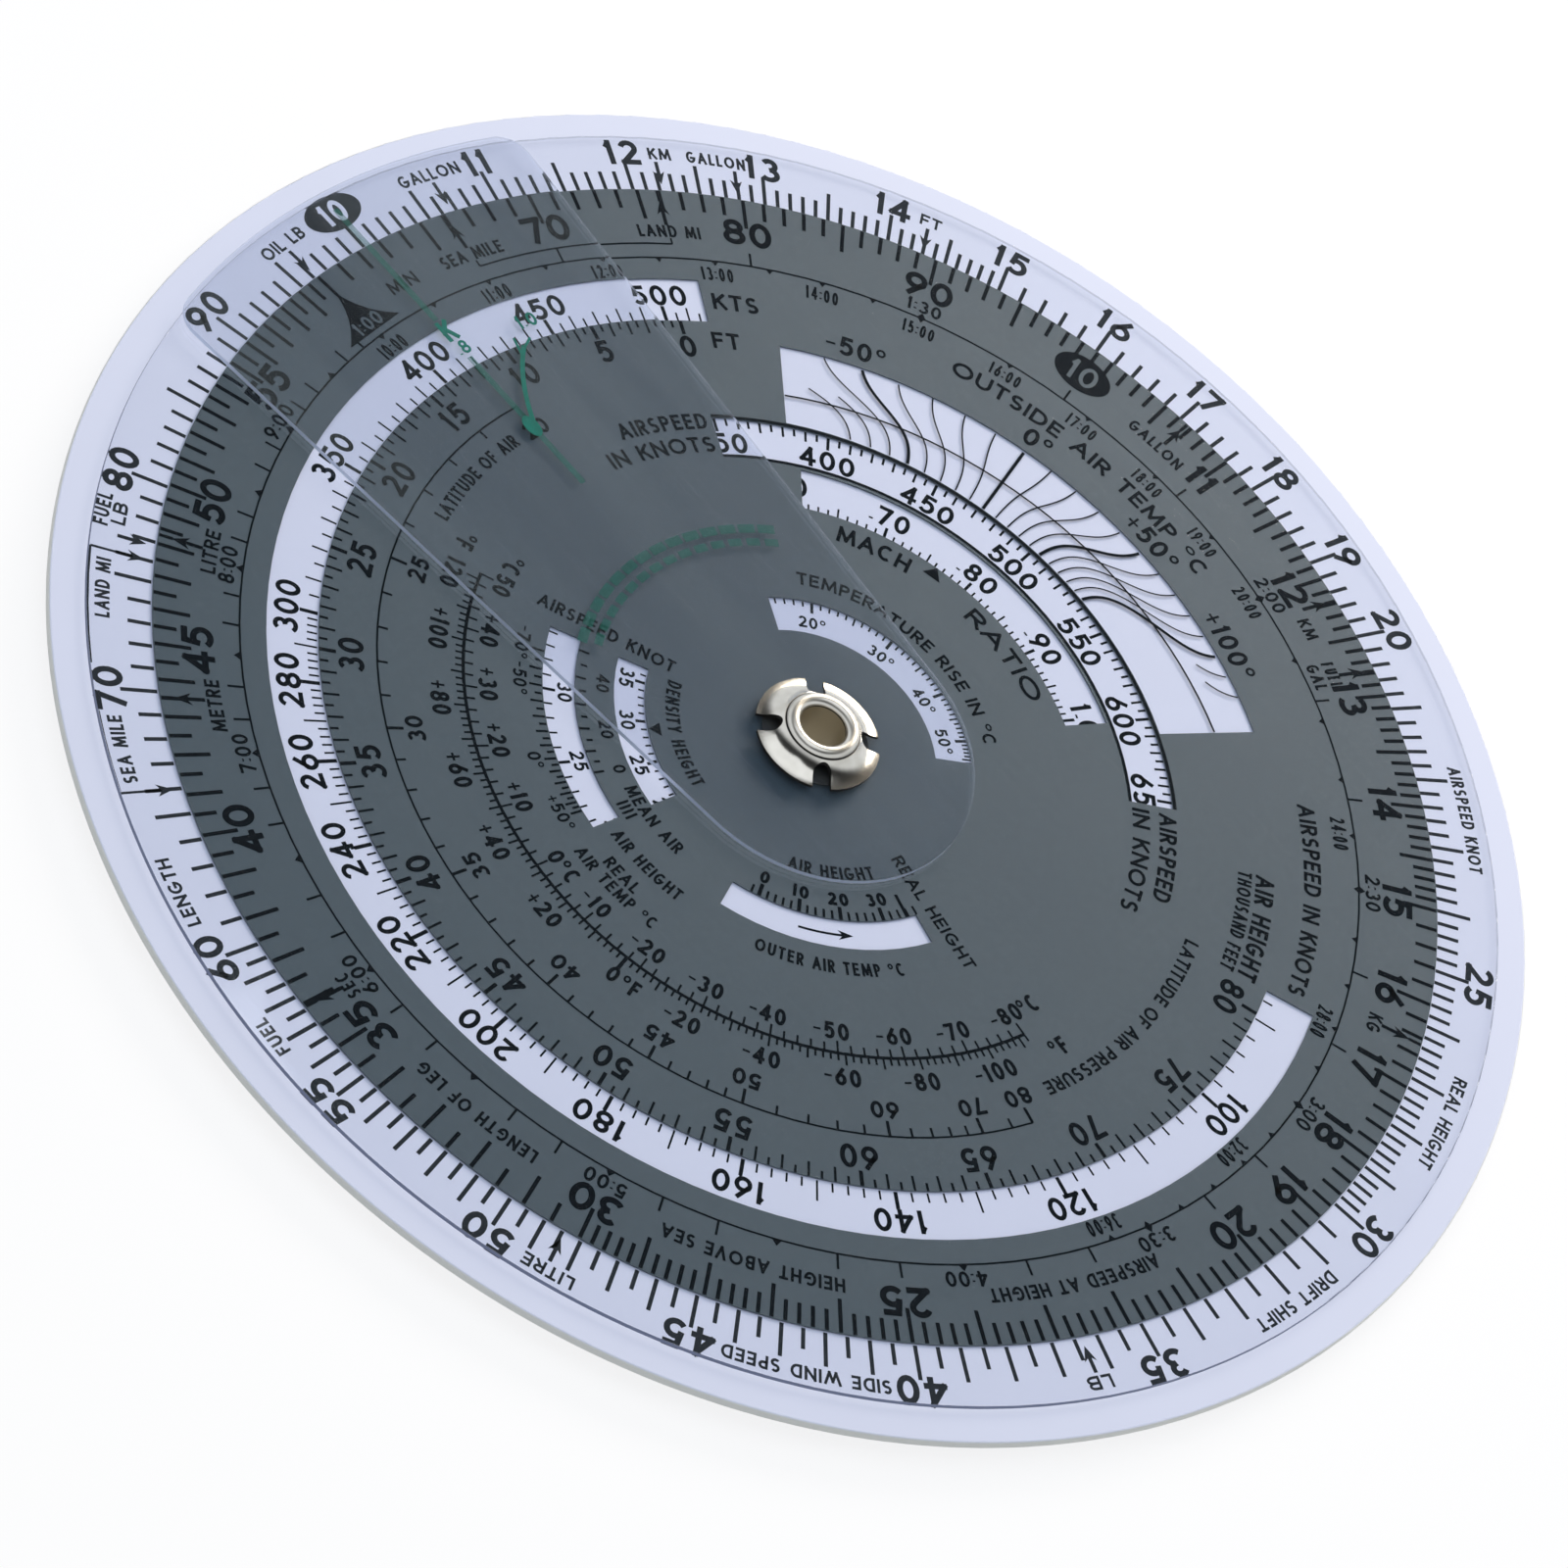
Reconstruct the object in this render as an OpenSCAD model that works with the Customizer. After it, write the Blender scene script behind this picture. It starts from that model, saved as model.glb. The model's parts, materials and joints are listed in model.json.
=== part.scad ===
// Circular flight computer: a white base disc that carries a clear computing disc and a clear
// cursor on its front, and an opaque wind disc and a clear azimuth disc on its back. All turn on one
// tubular eyelet, clinched over a notched spring washer.
// Lengths are in millimetres. Angles run clockwise from the base's index, seen from the front.
// The hub axis is Z, the base's index lies along +Y, and Z is 0 at the back of the eyelet.

/* [Base disc] */
// Diameter of the white base disc
base_d = 152.4; // [130:0.1:180]
// Thickness of the base disc
base_t = 1.0; // [0.6:0.05:2]
// Rounding of the base disc's edges
base_edge_r = 0.25; // [0.05:0.05:0.25]

/* [Computing disc] */
// Bare rim of the base outside the clear computing disc
computing_rim = 3.4; // [2:0.1:8]
// Thickness of the computing disc
computing_t = 0.5; // [0.4:0.05:1.2]
// Rounding of the computing disc's edges
computing_edge_r = 0.1; // [0.02:0.01:0.2]
// Rest angle of the computing disc's index
computing_turn = 73.7; // [0:0.1:360]

/* [Dial mask] */
// Clear ring of the computing disc outside the grey mask
mask_margin = 6.5; // [4:0.1:9]
// Thickness of the mask film
mask_t = 0.08; // [0.05:0.01:0.2]
// Ink and adhesive between the mask and the computing disc
bond_t = 0.03; // [0.01:0.01:0.1]

/* [Mask windows counted inwards from the mask's edge] */
// Grey band outside the speed window
speed_window_band = 11.15; // [8:0.05:14]
// Width of the speed window
speed_window_w = 5.15; // [3:0.05:6]
// Start and end of the speed window, from the disc's index
speed_window_span = [81.0, 318.8]; // [0:0.1:360]
// Grey band between the speed and temperature windows
temperature_window_band = 1.25; // [1:0.05:3]
// Width of the temperature window
temperature_window_w = 10.25; // [6:0.05:12]
// Start and end of the temperature window, from the disc's index
temperature_window_span = [-32.5, 44.5]; // [-90:0.1:90]
// Sideways shift of the temperature window's outer edge, which widens it clockwise
temperature_window_shift = 0.9; // [0:0.05:1]
// Direction of that shift, from the disc's index
temperature_window_shift_turn = 96.3; // [0:0.1:360]
// Border strip between the temperature and airspeed windows
airspeed_window_band = 0.5; // [0.3:0.05:2]
// Width of the airspeed window
airspeed_window_w = 4.5; // [3:0.05:6]
// Start and end of the airspeed window, from the disc's index
airspeed_window_span = [-44.9, 57.9]; // [-90:0.1:90]
// Border strip between the airspeed and Mach windows
mach_window_band = 0.55; // [0.3:0.05:2]
// Width of the Mach window
mach_window_w = 4.7; // [3:0.05:6]
// Start and end of the Mach window, from the disc's index
mach_window_span = [-30.5, 42.1]; // [-90:0.1:90]

/* [Mask windows counted outwards from the hub axis] */
// Inner radius of the temperature rise window
rise_window_r = 12.75; // [10:0.05:14]
// Width of the temperature rise window
rise_window_w = 3.85; // [2:0.05:5]
// Start and end of the temperature rise window, from the disc's index
rise_window_span = [-45.0, 55.4]; // [-90:0.1:90]
// Inner radius of the density window
density_window_r = 17.35; // [15:0.05:19]
// Width of the density window
density_window_w = 3.15; // [2:0.05:5]
// Start and end of the density window, from the disc's index
density_window_span = [205.1, 253.4]; // [180:0.1:300]
// Inner radius of the altitude window
altitude_window_r = 20.5; // [18:0.05:23]
// Width of the altitude window
altitude_window_w = 3.15; // [2:0.05:5]
// Start and end of the altitude window, from the disc's index
altitude_window_span = [120.8, 175.1]; // [90:0.1:200]
// Inner radius of the small speed window
small_speed_window_r = 24.45; // [22:0.05:27]
// Width of the small speed window
small_speed_window_w = 3.2; // [2:0.05:5]
// Start and end of the small speed window, from the disc's index
small_speed_window_span = [205.2, 253.7]; // [180:0.1:300]

/* [Cursor] */
// Radius of the cursor's round end about the hub
cursor_hub_r = 16.5; // [12:0.1:20]
// Angle by which each straight side leans outwards
cursor_taper = 6.1; // [2:0.1:12]
// Overhang of the cursor's outer end past the computing disc
cursor_overhang = 0.4; // [0:0.1:2]
// Radius of the two outer corners
cursor_corner_r = 3.3; // [1:0.1:6]
// Thickness of the cursor
cursor_t = 0.45; // [0.4:0.05:1.2]
// Rest angle of the cursor's hairline
cursor_turn = 0; // [0:0.1:360]

/* [Wind side] */
// Bare rim of the base outside the wind disc
wind_rim = 10.2; // [6:0.1:16]
// Thickness of the wind disc
wind_t = 0.6; // [0.4:0.05:1.2]
// Rounding of the wind disc's edges
wind_edge_r = 0.1; // [0.02:0.01:0.15]
// Rim of the wind disc outside the azimuth disc
azimuth_rim = 13; // [8:0.1:20]
// Thickness of the azimuth disc
azimuth_t = 0.5; // [0.4:0.05:1.2]
// Rounding of the azimuth disc's edges
azimuth_edge_r = 0.1; // [0.02:0.01:0.15]

/* [Hub eyelet] */
// Bore of the eyelet
eyelet_bore_d = 4.7; // [3:0.1:5.5]
// Wall of the eyelet's barrel
eyelet_wall = 0.45; // [0.3:0.05:0.7]
// Diameter of the flat head on the back
eyelet_head_d = 12; // [10:0.1:16]
// Thickness of the head
eyelet_head_t = 0.7; // [0.4:0.05:1.2]
// Rounding of the head's edges
eyelet_head_edge_r = 0.3; // [0.1:0.05:0.5]
// Width of the rolled ring past the barrel
ring_overhang = 0.95; // [0.6:0.01:1.4]
// Straight side of the rolled ring
ring_side_h = 0.15; // [0.1:0.05:0.6]
// Crown of the rolled ring above its sides
ring_crown_h = 0.5; // [0.2:0.05:0.6]

/* [Spring washer] */
// Diameter of the spring washer's brim
washer_d = 12.8; // [11:0.1:16]
// Thickness of the washer's sheet metal
washer_t = 0.35; // [0.2:0.05:0.5]
// Height of the washer's crown above the cursor
washer_h = 1.55; // [0.9:0.05:2]
// Flat crown left showing round the rolled ring
crown_land = 0.15; // [0.05:0.05:0.4]
// Number of notches in the brim
notch_count = 4; // [3:1:6]
// Width of a notch
notch_w = 1.9; // [1:0.1:2.4]
// Metal left between a notch and the crown
notch_web = 0.15; // [0.05:0.05:0.6]
// Angle of the first notch
notch_turn = 42; // [0:1:90]

/* [Friction washers] */
// Diameter of the friction washers between the discs
spacer_d = 11; // [8:0.1:12]
// Thickness of a friction washer
spacer_t = 0.1; // [0.05:0.01:0.3]

/* [Clearances] */
// Radial running clearance of each disc on the barrel
bore_play = 0.06; // [0.02:0.01:0.1]
// Play on each face of a friction washer
face_play = 0.01; // [0.01:0.01:0.05]
// Play between the hub's metal and the plastic next to it
clamp_play = 0.03; // [0.01:0.01:0.1]

/* [Hidden] */
$fn = 180;
base_r = base_d / 2;
computing_r = base_r - computing_rim;
mask_r = computing_r - mask_margin;
cursor_reach = computing_r + cursor_overhang;
wind_r = base_r - wind_rim;
azimuth_r = wind_r - azimuth_rim;

// Radii of the hub
bore_r = eyelet_bore_d / 2;
barrel_r = bore_r + eyelet_wall;
disc_bore_r = barrel_r + bore_play;
ring_r = barrel_r + ring_overhang;
crown_r = ring_r + crown_land;
brim_r = washer_d / 2;

// Inner radii of the windows that are counted from the mask's edge
speed_window_r = mask_r - speed_window_band - speed_window_w;
temperature_window_r = speed_window_r - temperature_window_band - temperature_window_w;
airspeed_window_r = temperature_window_r - airspeed_window_band - airspeed_window_w;
mach_window_r = airspeed_window_r - mach_window_band - mach_window_w;

// Heights of the layers, from the back of the eyelet to the top of its rolled ring
layer_gap = spacer_t + 2 * face_play;
azimuth_z = eyelet_head_t + clamp_play;
wind_z = azimuth_z + azimuth_t + layer_gap;
base_z = wind_z + wind_t + layer_gap;
mask_z = base_z + base_t + layer_gap;
computing_z = mask_z + mask_t + bond_t;
cursor_z = computing_z + computing_t + layer_gap;
washer_z = cursor_z + cursor_t + clamp_play;
ring_z = washer_z + washer_h;

// A cut passes this far beyond the face that it opens
cut = 1;
// Largest share of a plate's thickness that one rounded edge may take
fullest_edge = 0.45;

// Unit vector at an angle counted clockwise from +Y
function heading(a) = [sin(a), cos(a)];

// Half section of a flat ring, with its outer edges rounded as far as its thickness allows
module plate_section(inner_r, outer_r, t, edge_r) {
    r = min(edge_r, fullest_edge * t);
    translate([inner_r, 0]) square([outer_r - r - inner_r, t]);
    translate([inner_r, r]) square([outer_r - inner_r, t - 2 * r]);
    for (y = [r, t - r])
        translate([outer_r - r, y]) circle(r = r);
}

// Flat disc with the running bore that all discs share
module disc(outer_r, t, edge_r, z) {
    translate([0, 0, z])
        rotate_extrude() plate_section(disc_bore_r, outer_r, t, edge_r);
}

// Thin washer in one of the gaps between the discs
module spacer(gap_z) {
    translate([0, 0, gap_z + face_play]) difference() {
        cylinder(r = spacer_d / 2, h = spacer_t);
        translate([0, 0, -cut]) cylinder(r = disc_bore_r, h = spacer_t + 2 * cut);
    }
}

// Pie slice between two angles, with its rim outside the given radius
module slice(span, r) {
    steps = ceil((span[1] - span[0]) / 45);
    reach = 2 * r;
    rim = [for (i = [0 : steps]) reach * heading(span[0] + i * (span[1] - span[0]) / steps)];
    polygon(concat([[0, 0]], rim));
}

// Arc-shaped window in the mask. A shift moves the circle of the outer edge sideways.
module window(inner_r, w, span, shift = 0, shift_turn = 0) {
    difference() {
        intersection() {
            translate(shift * heading(shift_turn)) circle(r = inner_r + w);
            slice(span, inner_r + w + shift);
        }
        circle(r = inner_r);
    }
}

module mask_windows() {
    window(speed_window_r, speed_window_w, speed_window_span);
    window(temperature_window_r, temperature_window_w, temperature_window_span,
           temperature_window_shift, temperature_window_shift_turn);
    window(airspeed_window_r, airspeed_window_w, airspeed_window_span);
    window(mach_window_r, mach_window_w, mach_window_span);
    window(rise_window_r, rise_window_w, rise_window_span);
    window(density_window_r, density_window_w, density_window_span);
    window(altitude_window_r, altitude_window_w, altitude_window_span);
    window(small_speed_window_r, small_speed_window_w, small_speed_window_span);
}

// Outline of the cursor along +Y: a round hub end, two straight sides that touch it and lean
// outwards, and an outer arc about the hub with rounded corners
module cursor_outline() {
    side_normal = [cos(cursor_taper), -sin(cursor_taper)];
    side_along = [sin(cursor_taper), cos(cursor_taper)];
    corner_depth = cursor_hub_r - cursor_corner_r;
    corner_reach = cursor_reach - cursor_corner_r;
    corner_run = sqrt(corner_reach * corner_reach - corner_depth * corner_depth);
    corner = corner_depth * side_normal + corner_run * side_along;
    foot = cursor_hub_r * side_normal;
    shoulder = corner + cursor_corner_r * side_normal;
    corner_turn = atan2(corner[0], corner[1]);
    circle(r = cursor_hub_r);
    for (side = [0, 1]) mirror([side, 0]) {
        polygon([[0, 0], foot, shoulder, corner]);
        translate(corner) circle(r = cursor_corner_r);
    }
    intersection() {
        circle(r = cursor_reach);
        slice([-corner_turn, corner_turn], cursor_reach);
    }
}

// Half section of the eyelet: flat back head, straight barrel and rolled ring with an arched crown
module eyelet_section() {
    head_r = eyelet_head_d / 2;
    ring_w = ring_r - bore_r;
    ring_h = ring_side_h + ring_crown_h;
    arch_r = (ring_w * ring_w / 4 + ring_crown_h * ring_crown_h) / (2 * ring_crown_h);
    plate_section(bore_r, head_r, eyelet_head_t, eyelet_head_edge_r);
    translate([bore_r, 0]) square([eyelet_wall, ring_z + ring_side_h]);
    intersection() {
        translate([bore_r, ring_z]) square([ring_w, ring_h]);
        translate([bore_r + ring_w / 2, ring_z + ring_h - arch_r]) circle(r = arch_r);
    }
}

// Half section of the spring washer: a flat crown that flares out in one hollow curve to a brim,
// which meets the cursor flat. The curve's centre lies above the edge of the brim.
module washer_section() {
    rise = washer_h - washer_t;
    run = brim_r - crown_r;
    flare_r = (run * run + rise * rise) / (2 * rise);
    flare_z = washer_t + flare_r;
    difference() {
        translate([disc_bore_r, 0]) square([brim_r - disc_bore_r, washer_h]);
        translate([brim_r, flare_z]) circle(r = flare_r);
        difference() {
            square([brim_r, rise]);
            translate([brim_r, flare_z]) circle(r = flare_r + washer_t);
        }
    }
}

// Round-ended slot that runs out through the brim along +Y
module notch() {
    end_r = notch_w / 2;
    end_y = crown_r + notch_web + end_r;
    translate([0, end_y, -cut]) cylinder(r = end_r, h = washer_h + 2 * cut);
    translate([-end_r, end_y, -cut]) cube([notch_w, brim_r, washer_h + 2 * cut]);
}

module base_disc() {
    color("lavender") disc(base_r, base_t, base_edge_r, base_z);
}

module computing_disc() {
    color("lightsteelblue", 0.35) disc(computing_r, computing_t, computing_edge_r, computing_z);
}

module dial_mask() {
    color("slategray") translate([0, 0, mask_z]) rotate([0, 0, -computing_turn])
        linear_extrude(mask_t) difference() {
            circle(r = mask_r);
            circle(r = disc_bore_r);
            mask_windows();
        }
}

module cursor() {
    color("lightsteelblue", 0.35) translate([0, 0, cursor_z]) rotate([0, 0, -cursor_turn])
        linear_extrude(cursor_t) difference() {
            cursor_outline();
            circle(r = disc_bore_r);
        }
}

module wind_disc() {
    color("ghostwhite") disc(wind_r, wind_t, wind_edge_r, wind_z);
}

module azimuth_disc() {
    color("lightsteelblue", 0.35) disc(azimuth_r, azimuth_t, azimuth_edge_r, azimuth_z);
}

module hub_eyelet() {
    color("silver") rotate_extrude() eyelet_section();
}

module spring_washer() {
    color("silver") translate([0, 0, washer_z]) difference() {
        rotate_extrude() washer_section();
        for (i = [0 : notch_count - 1])
            rotate([0, 0, -notch_turn - i * 360 / notch_count]) notch();
    }
}

module computing_spacer() {
    color("linen") spacer(base_z + base_t);
}

module cursor_spacer() {
    color("linen") spacer(computing_z + computing_t);
}

module wind_spacer() {
    color("linen") spacer(wind_z + wind_t);
}

module azimuth_spacer() {
    color("linen") spacer(azimuth_z + azimuth_t);
}

base_disc();
computing_disc();
dial_mask();
cursor();
wind_disc();
azimuth_disc();
hub_eyelet();
spring_washer();
computing_spacer();
cursor_spacer();
wind_spacer();
azimuth_spacer();
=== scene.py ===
"""Dresses a circular flight computer: printed scales, clear plates, a plated hub and a plain studio."""

import json
import math
from functools import partial

import bpy
import numpy as np
from bpy.props import FloatProperty, FloatVectorProperty, PointerProperty
from mathutils import Matrix, Vector


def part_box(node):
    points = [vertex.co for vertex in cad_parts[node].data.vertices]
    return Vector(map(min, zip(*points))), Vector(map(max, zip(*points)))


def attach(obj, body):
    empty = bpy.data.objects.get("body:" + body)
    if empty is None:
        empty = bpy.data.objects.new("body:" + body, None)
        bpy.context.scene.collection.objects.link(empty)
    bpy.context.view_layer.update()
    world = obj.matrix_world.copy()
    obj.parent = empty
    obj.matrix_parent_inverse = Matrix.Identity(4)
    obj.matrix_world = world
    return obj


bl_info = {
    "name": "Circular flight computer",
    "version": (1, 0, 0),
    "blender": (4, 5, 0),
    "location": "3D View > Sidebar > Flight computer",
    "description": "Prints and finishes a circular slide-rule flight computer on its packed solids",
    "category": "Object",
}

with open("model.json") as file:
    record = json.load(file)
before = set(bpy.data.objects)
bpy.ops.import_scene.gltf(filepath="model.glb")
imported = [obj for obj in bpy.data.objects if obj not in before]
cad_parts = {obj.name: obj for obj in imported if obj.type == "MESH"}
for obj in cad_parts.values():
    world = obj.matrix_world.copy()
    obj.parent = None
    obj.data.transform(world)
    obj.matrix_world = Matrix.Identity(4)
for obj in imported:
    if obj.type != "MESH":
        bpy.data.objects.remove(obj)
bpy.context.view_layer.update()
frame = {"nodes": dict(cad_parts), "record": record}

MM = 0.001

# Radii and heights that the solids give
BASE_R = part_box("base_disc")[1].x
SCALE_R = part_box("dial_mask")[1].x
WIND_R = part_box("wind_disc")[1].x
AZIMUTH_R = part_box("azimuth_disc")[1].x
BASE_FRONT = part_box("base_disc")[1].z
BASE_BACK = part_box("base_disc")[0].z
FILM_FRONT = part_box("dial_mask")[1].z
PLATE_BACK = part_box("computing_disc")[0].z
CURSOR_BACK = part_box("cursor")[0].z
WIND_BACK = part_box("wind_disc")[0].z
AZIMUTH_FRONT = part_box("azimuth_disc")[1].z
RING_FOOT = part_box("spring_washer")[1].z
BORE_R = next(m["dims"]["r_mm"] for m in frame["record"]["mounts"] if m["name"] == "hub_bore") * MM
EYELET_WALL = 0.45 * MM
RING_W = 0.95 * MM
BARREL_R = BORE_R + EYELET_WALL
RING_R = BARREL_R + RING_W


def linear(code):
    """Linear colour of an sRGB hex code: ((c + 0.055) / 1.055) ^ 2.4, or c / 12.92 near black."""
    shares = [int(code[i:i + 2], 16) / 255 for i in (1, 3, 5)]
    parts = [c / 12.92 if c <= 0.04045 else ((c + 0.055) / 1.055) ** 2.4 for c in shares]
    return (*parts, 1.0)


def length_property(name, description, millimetres):
    """A length in metres with its default given in millimetres."""
    return FloatProperty(name=name, description=description, default=millimetres * MM, unit="LENGTH",
                         precision=6)


def angle_property(name, description, degrees):
    """An angle with its default given in degrees."""
    return FloatProperty(name=name, description=description, default=math.radians(degrees), subtype="ANGLE")


def colour_property(name, description, code):
    """A colour with its default given as an sRGB hex code."""
    return FloatVectorProperty(name=name, description=description, default=linear(code), size=4,
                               subtype="COLOR", min=0, max=1)


class PrintSizes(bpy.types.PropertyGroup):
    """Sizes of the printed scales."""

    ink_t: length_property("Ink thickness", "Height of the screen-printed ink", 0.013)
    tick_w: length_property("Tick width", "Width of the ticks of the two large scales", 0.41)
    fine_tick_w: length_property("Fine tick width", "Width of the ticks of the small scales", 0.25)
    bold_tick_w: length_property("Bold tick width", "Width of the numbered ticks of the small scales", 0.4)
    line_w: length_property("Line width", "Width of the thin circles", 0.2)
    curve_w: length_property("Curve width", "Width of the thin temperature curves", 0.16)
    bold_line_w: length_property("Bold line width", "Width of the bold arcs and curves", 0.34)
    short_tick: length_property("Short tick", "Length of a short tick of the large scales", 2.25)
    long_tick: length_property("Long tick", "Length of a long tick of the large scales", 3.6)
    number_h: length_property("Number height", "Height of the numbers of the large scales", 3.05)
    small_number_h: length_property("Small number height", "Height of the numbers at the back", 2.1)
    caption_h: length_property("Caption height", "Height of the small words", 1.45)
    dial_turn: angle_property("Dial turn", "Where the dial's index stands at rest", 73.7)


class Finishes(bpy.types.PropertyGroup):
    """Colours of the sheets, inks and metal."""

    white: colour_property("White vinyl", "Face of the opaque sheets", "#E7ECFF")
    core: colour_property("Cut edge", "Sawn edge of the opaque sheets", "#F0F0E8")
    clear: colour_property("Clear vinyl", "Tint of the clear discs", "#F7F9FD")
    cursor: colour_property("Cursor vinyl", "Tint of the clear cursor", "#F0F3FA")
    # The clear discs' frosted edge is darkened as painted shade, standing for the edge's shadow on the base
    wall: colour_property("Sawn clear edge", "Frosted walls of the clear discs", "#7A829A")
    # Handling haze, whose smears also stand in as painted reflection streaks on the clear sheets
    haze: colour_property("Haze", "Marks of handling on the clear sheets", "#D6E3DE")
    # The cursor's frosted edge is made pale as a painted highlight along its lit edge
    cursor_wall: colour_property("Sawn cursor edge", "Frosted walls of the cursor", "#E2EBFF")
    film: colour_property("Grey film", "Screened grey of the dial", "#3C4E58")
    black: colour_property("Black ink", "Ink of the scales", "#13181C")
    faded: colour_property("Faded black ink", "Ink on the rim of the base", "#303438")
    green: colour_property("Green ink", "Ink of the cursor and the wind grid", "#0F7261")
    nickel: colour_property("Nickel", "Plating of the hub", "#DFD9CC")
    stain: colour_property("Nickel stain", "Dull patches of the plating", "#C4BEB0")
    tarnish: colour_property("Tarnish", "Bare metal in the bore and under the washer", "#B3A688")
    # Painted shade: a dark colour for the shade in the seam round the ring's foot and along the brim's
    # sheared edges
    grime: colour_property("Grime", "Seam round the rolled ring and sheared edges", "#26231F")
    # Black that is partly painted shade: it shows through the cursor in the spring washer's notches
    fibre: colour_property("Fibre", "Friction washers", "#2E2D2B")


class Studio(bpy.types.PropertyGroup):
    """Camera, lamps and backdrop."""

    azimuth: angle_property("Azimuth", "Camera's bearing from +X", -162.37)
    elevation: angle_property("Elevation", "Camera's height above the floor", 47.98)
    roll: angle_property("Roll", "Camera's turn about its own axis", 34.5)
    distance: length_property("Distance", "Camera's distance from its target", 704.9)
    target_x: length_property("Target X", "Point that the camera looks at", -6.0)
    target_y: length_property("Target Y", "Point that the camera looks at", -1.95)
    lens: FloatProperty(name="Lens", description="Focal length in millimetres", default=170.3)
    room: FloatProperty(name="Room light", description="Brightness of the room around", default=0.38)
    ceiling: FloatProperty(name="Ceiling", description="Brightness of the ceiling in gloss", default=0.02)


# Ink drawing

def polar(angle, radius):
    """Points at an angle in degrees clockwise from +Y: x = r sin a, y = r cos a."""
    turn = np.radians(angle)
    return np.stack(np.broadcast_arrays(radius * np.sin(turn), radius * np.cos(turn)), axis=-1)


def bow(x, y, half_w, half_h, start, end, step=20):
    """Elliptical arc about (x, y) between two angles in degrees counter-clockwise from +x."""
    count = int(math.ceil(abs(end - start) / step)) + 1
    turn = np.radians(np.linspace(start, end, count))
    return np.column_stack([x + half_w * np.cos(turn), y + half_h * np.sin(turn)])


def run(*points):
    """Straight runs through the points given."""
    return np.array(points, float)


def chain(*parts):
    """One path through several parts."""
    return np.vstack(parts)


def curve(first, middle, last, count):
    """Quadratic curve: (1 - s)^2 first + 2 s (1 - s) middle + s^2 last."""
    share = np.linspace(0, 1, count)[:, None]
    return (1 - share) ** 2 * first + 2 * share * (1 - share) * middle + share ** 2 * last


SIX = chain(run((0.78, 1), (0.09, 0.44)), bow(0.5, 0.31, 0.5, 0.31, 155, 505))
NINE = 1 - SIX

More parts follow.
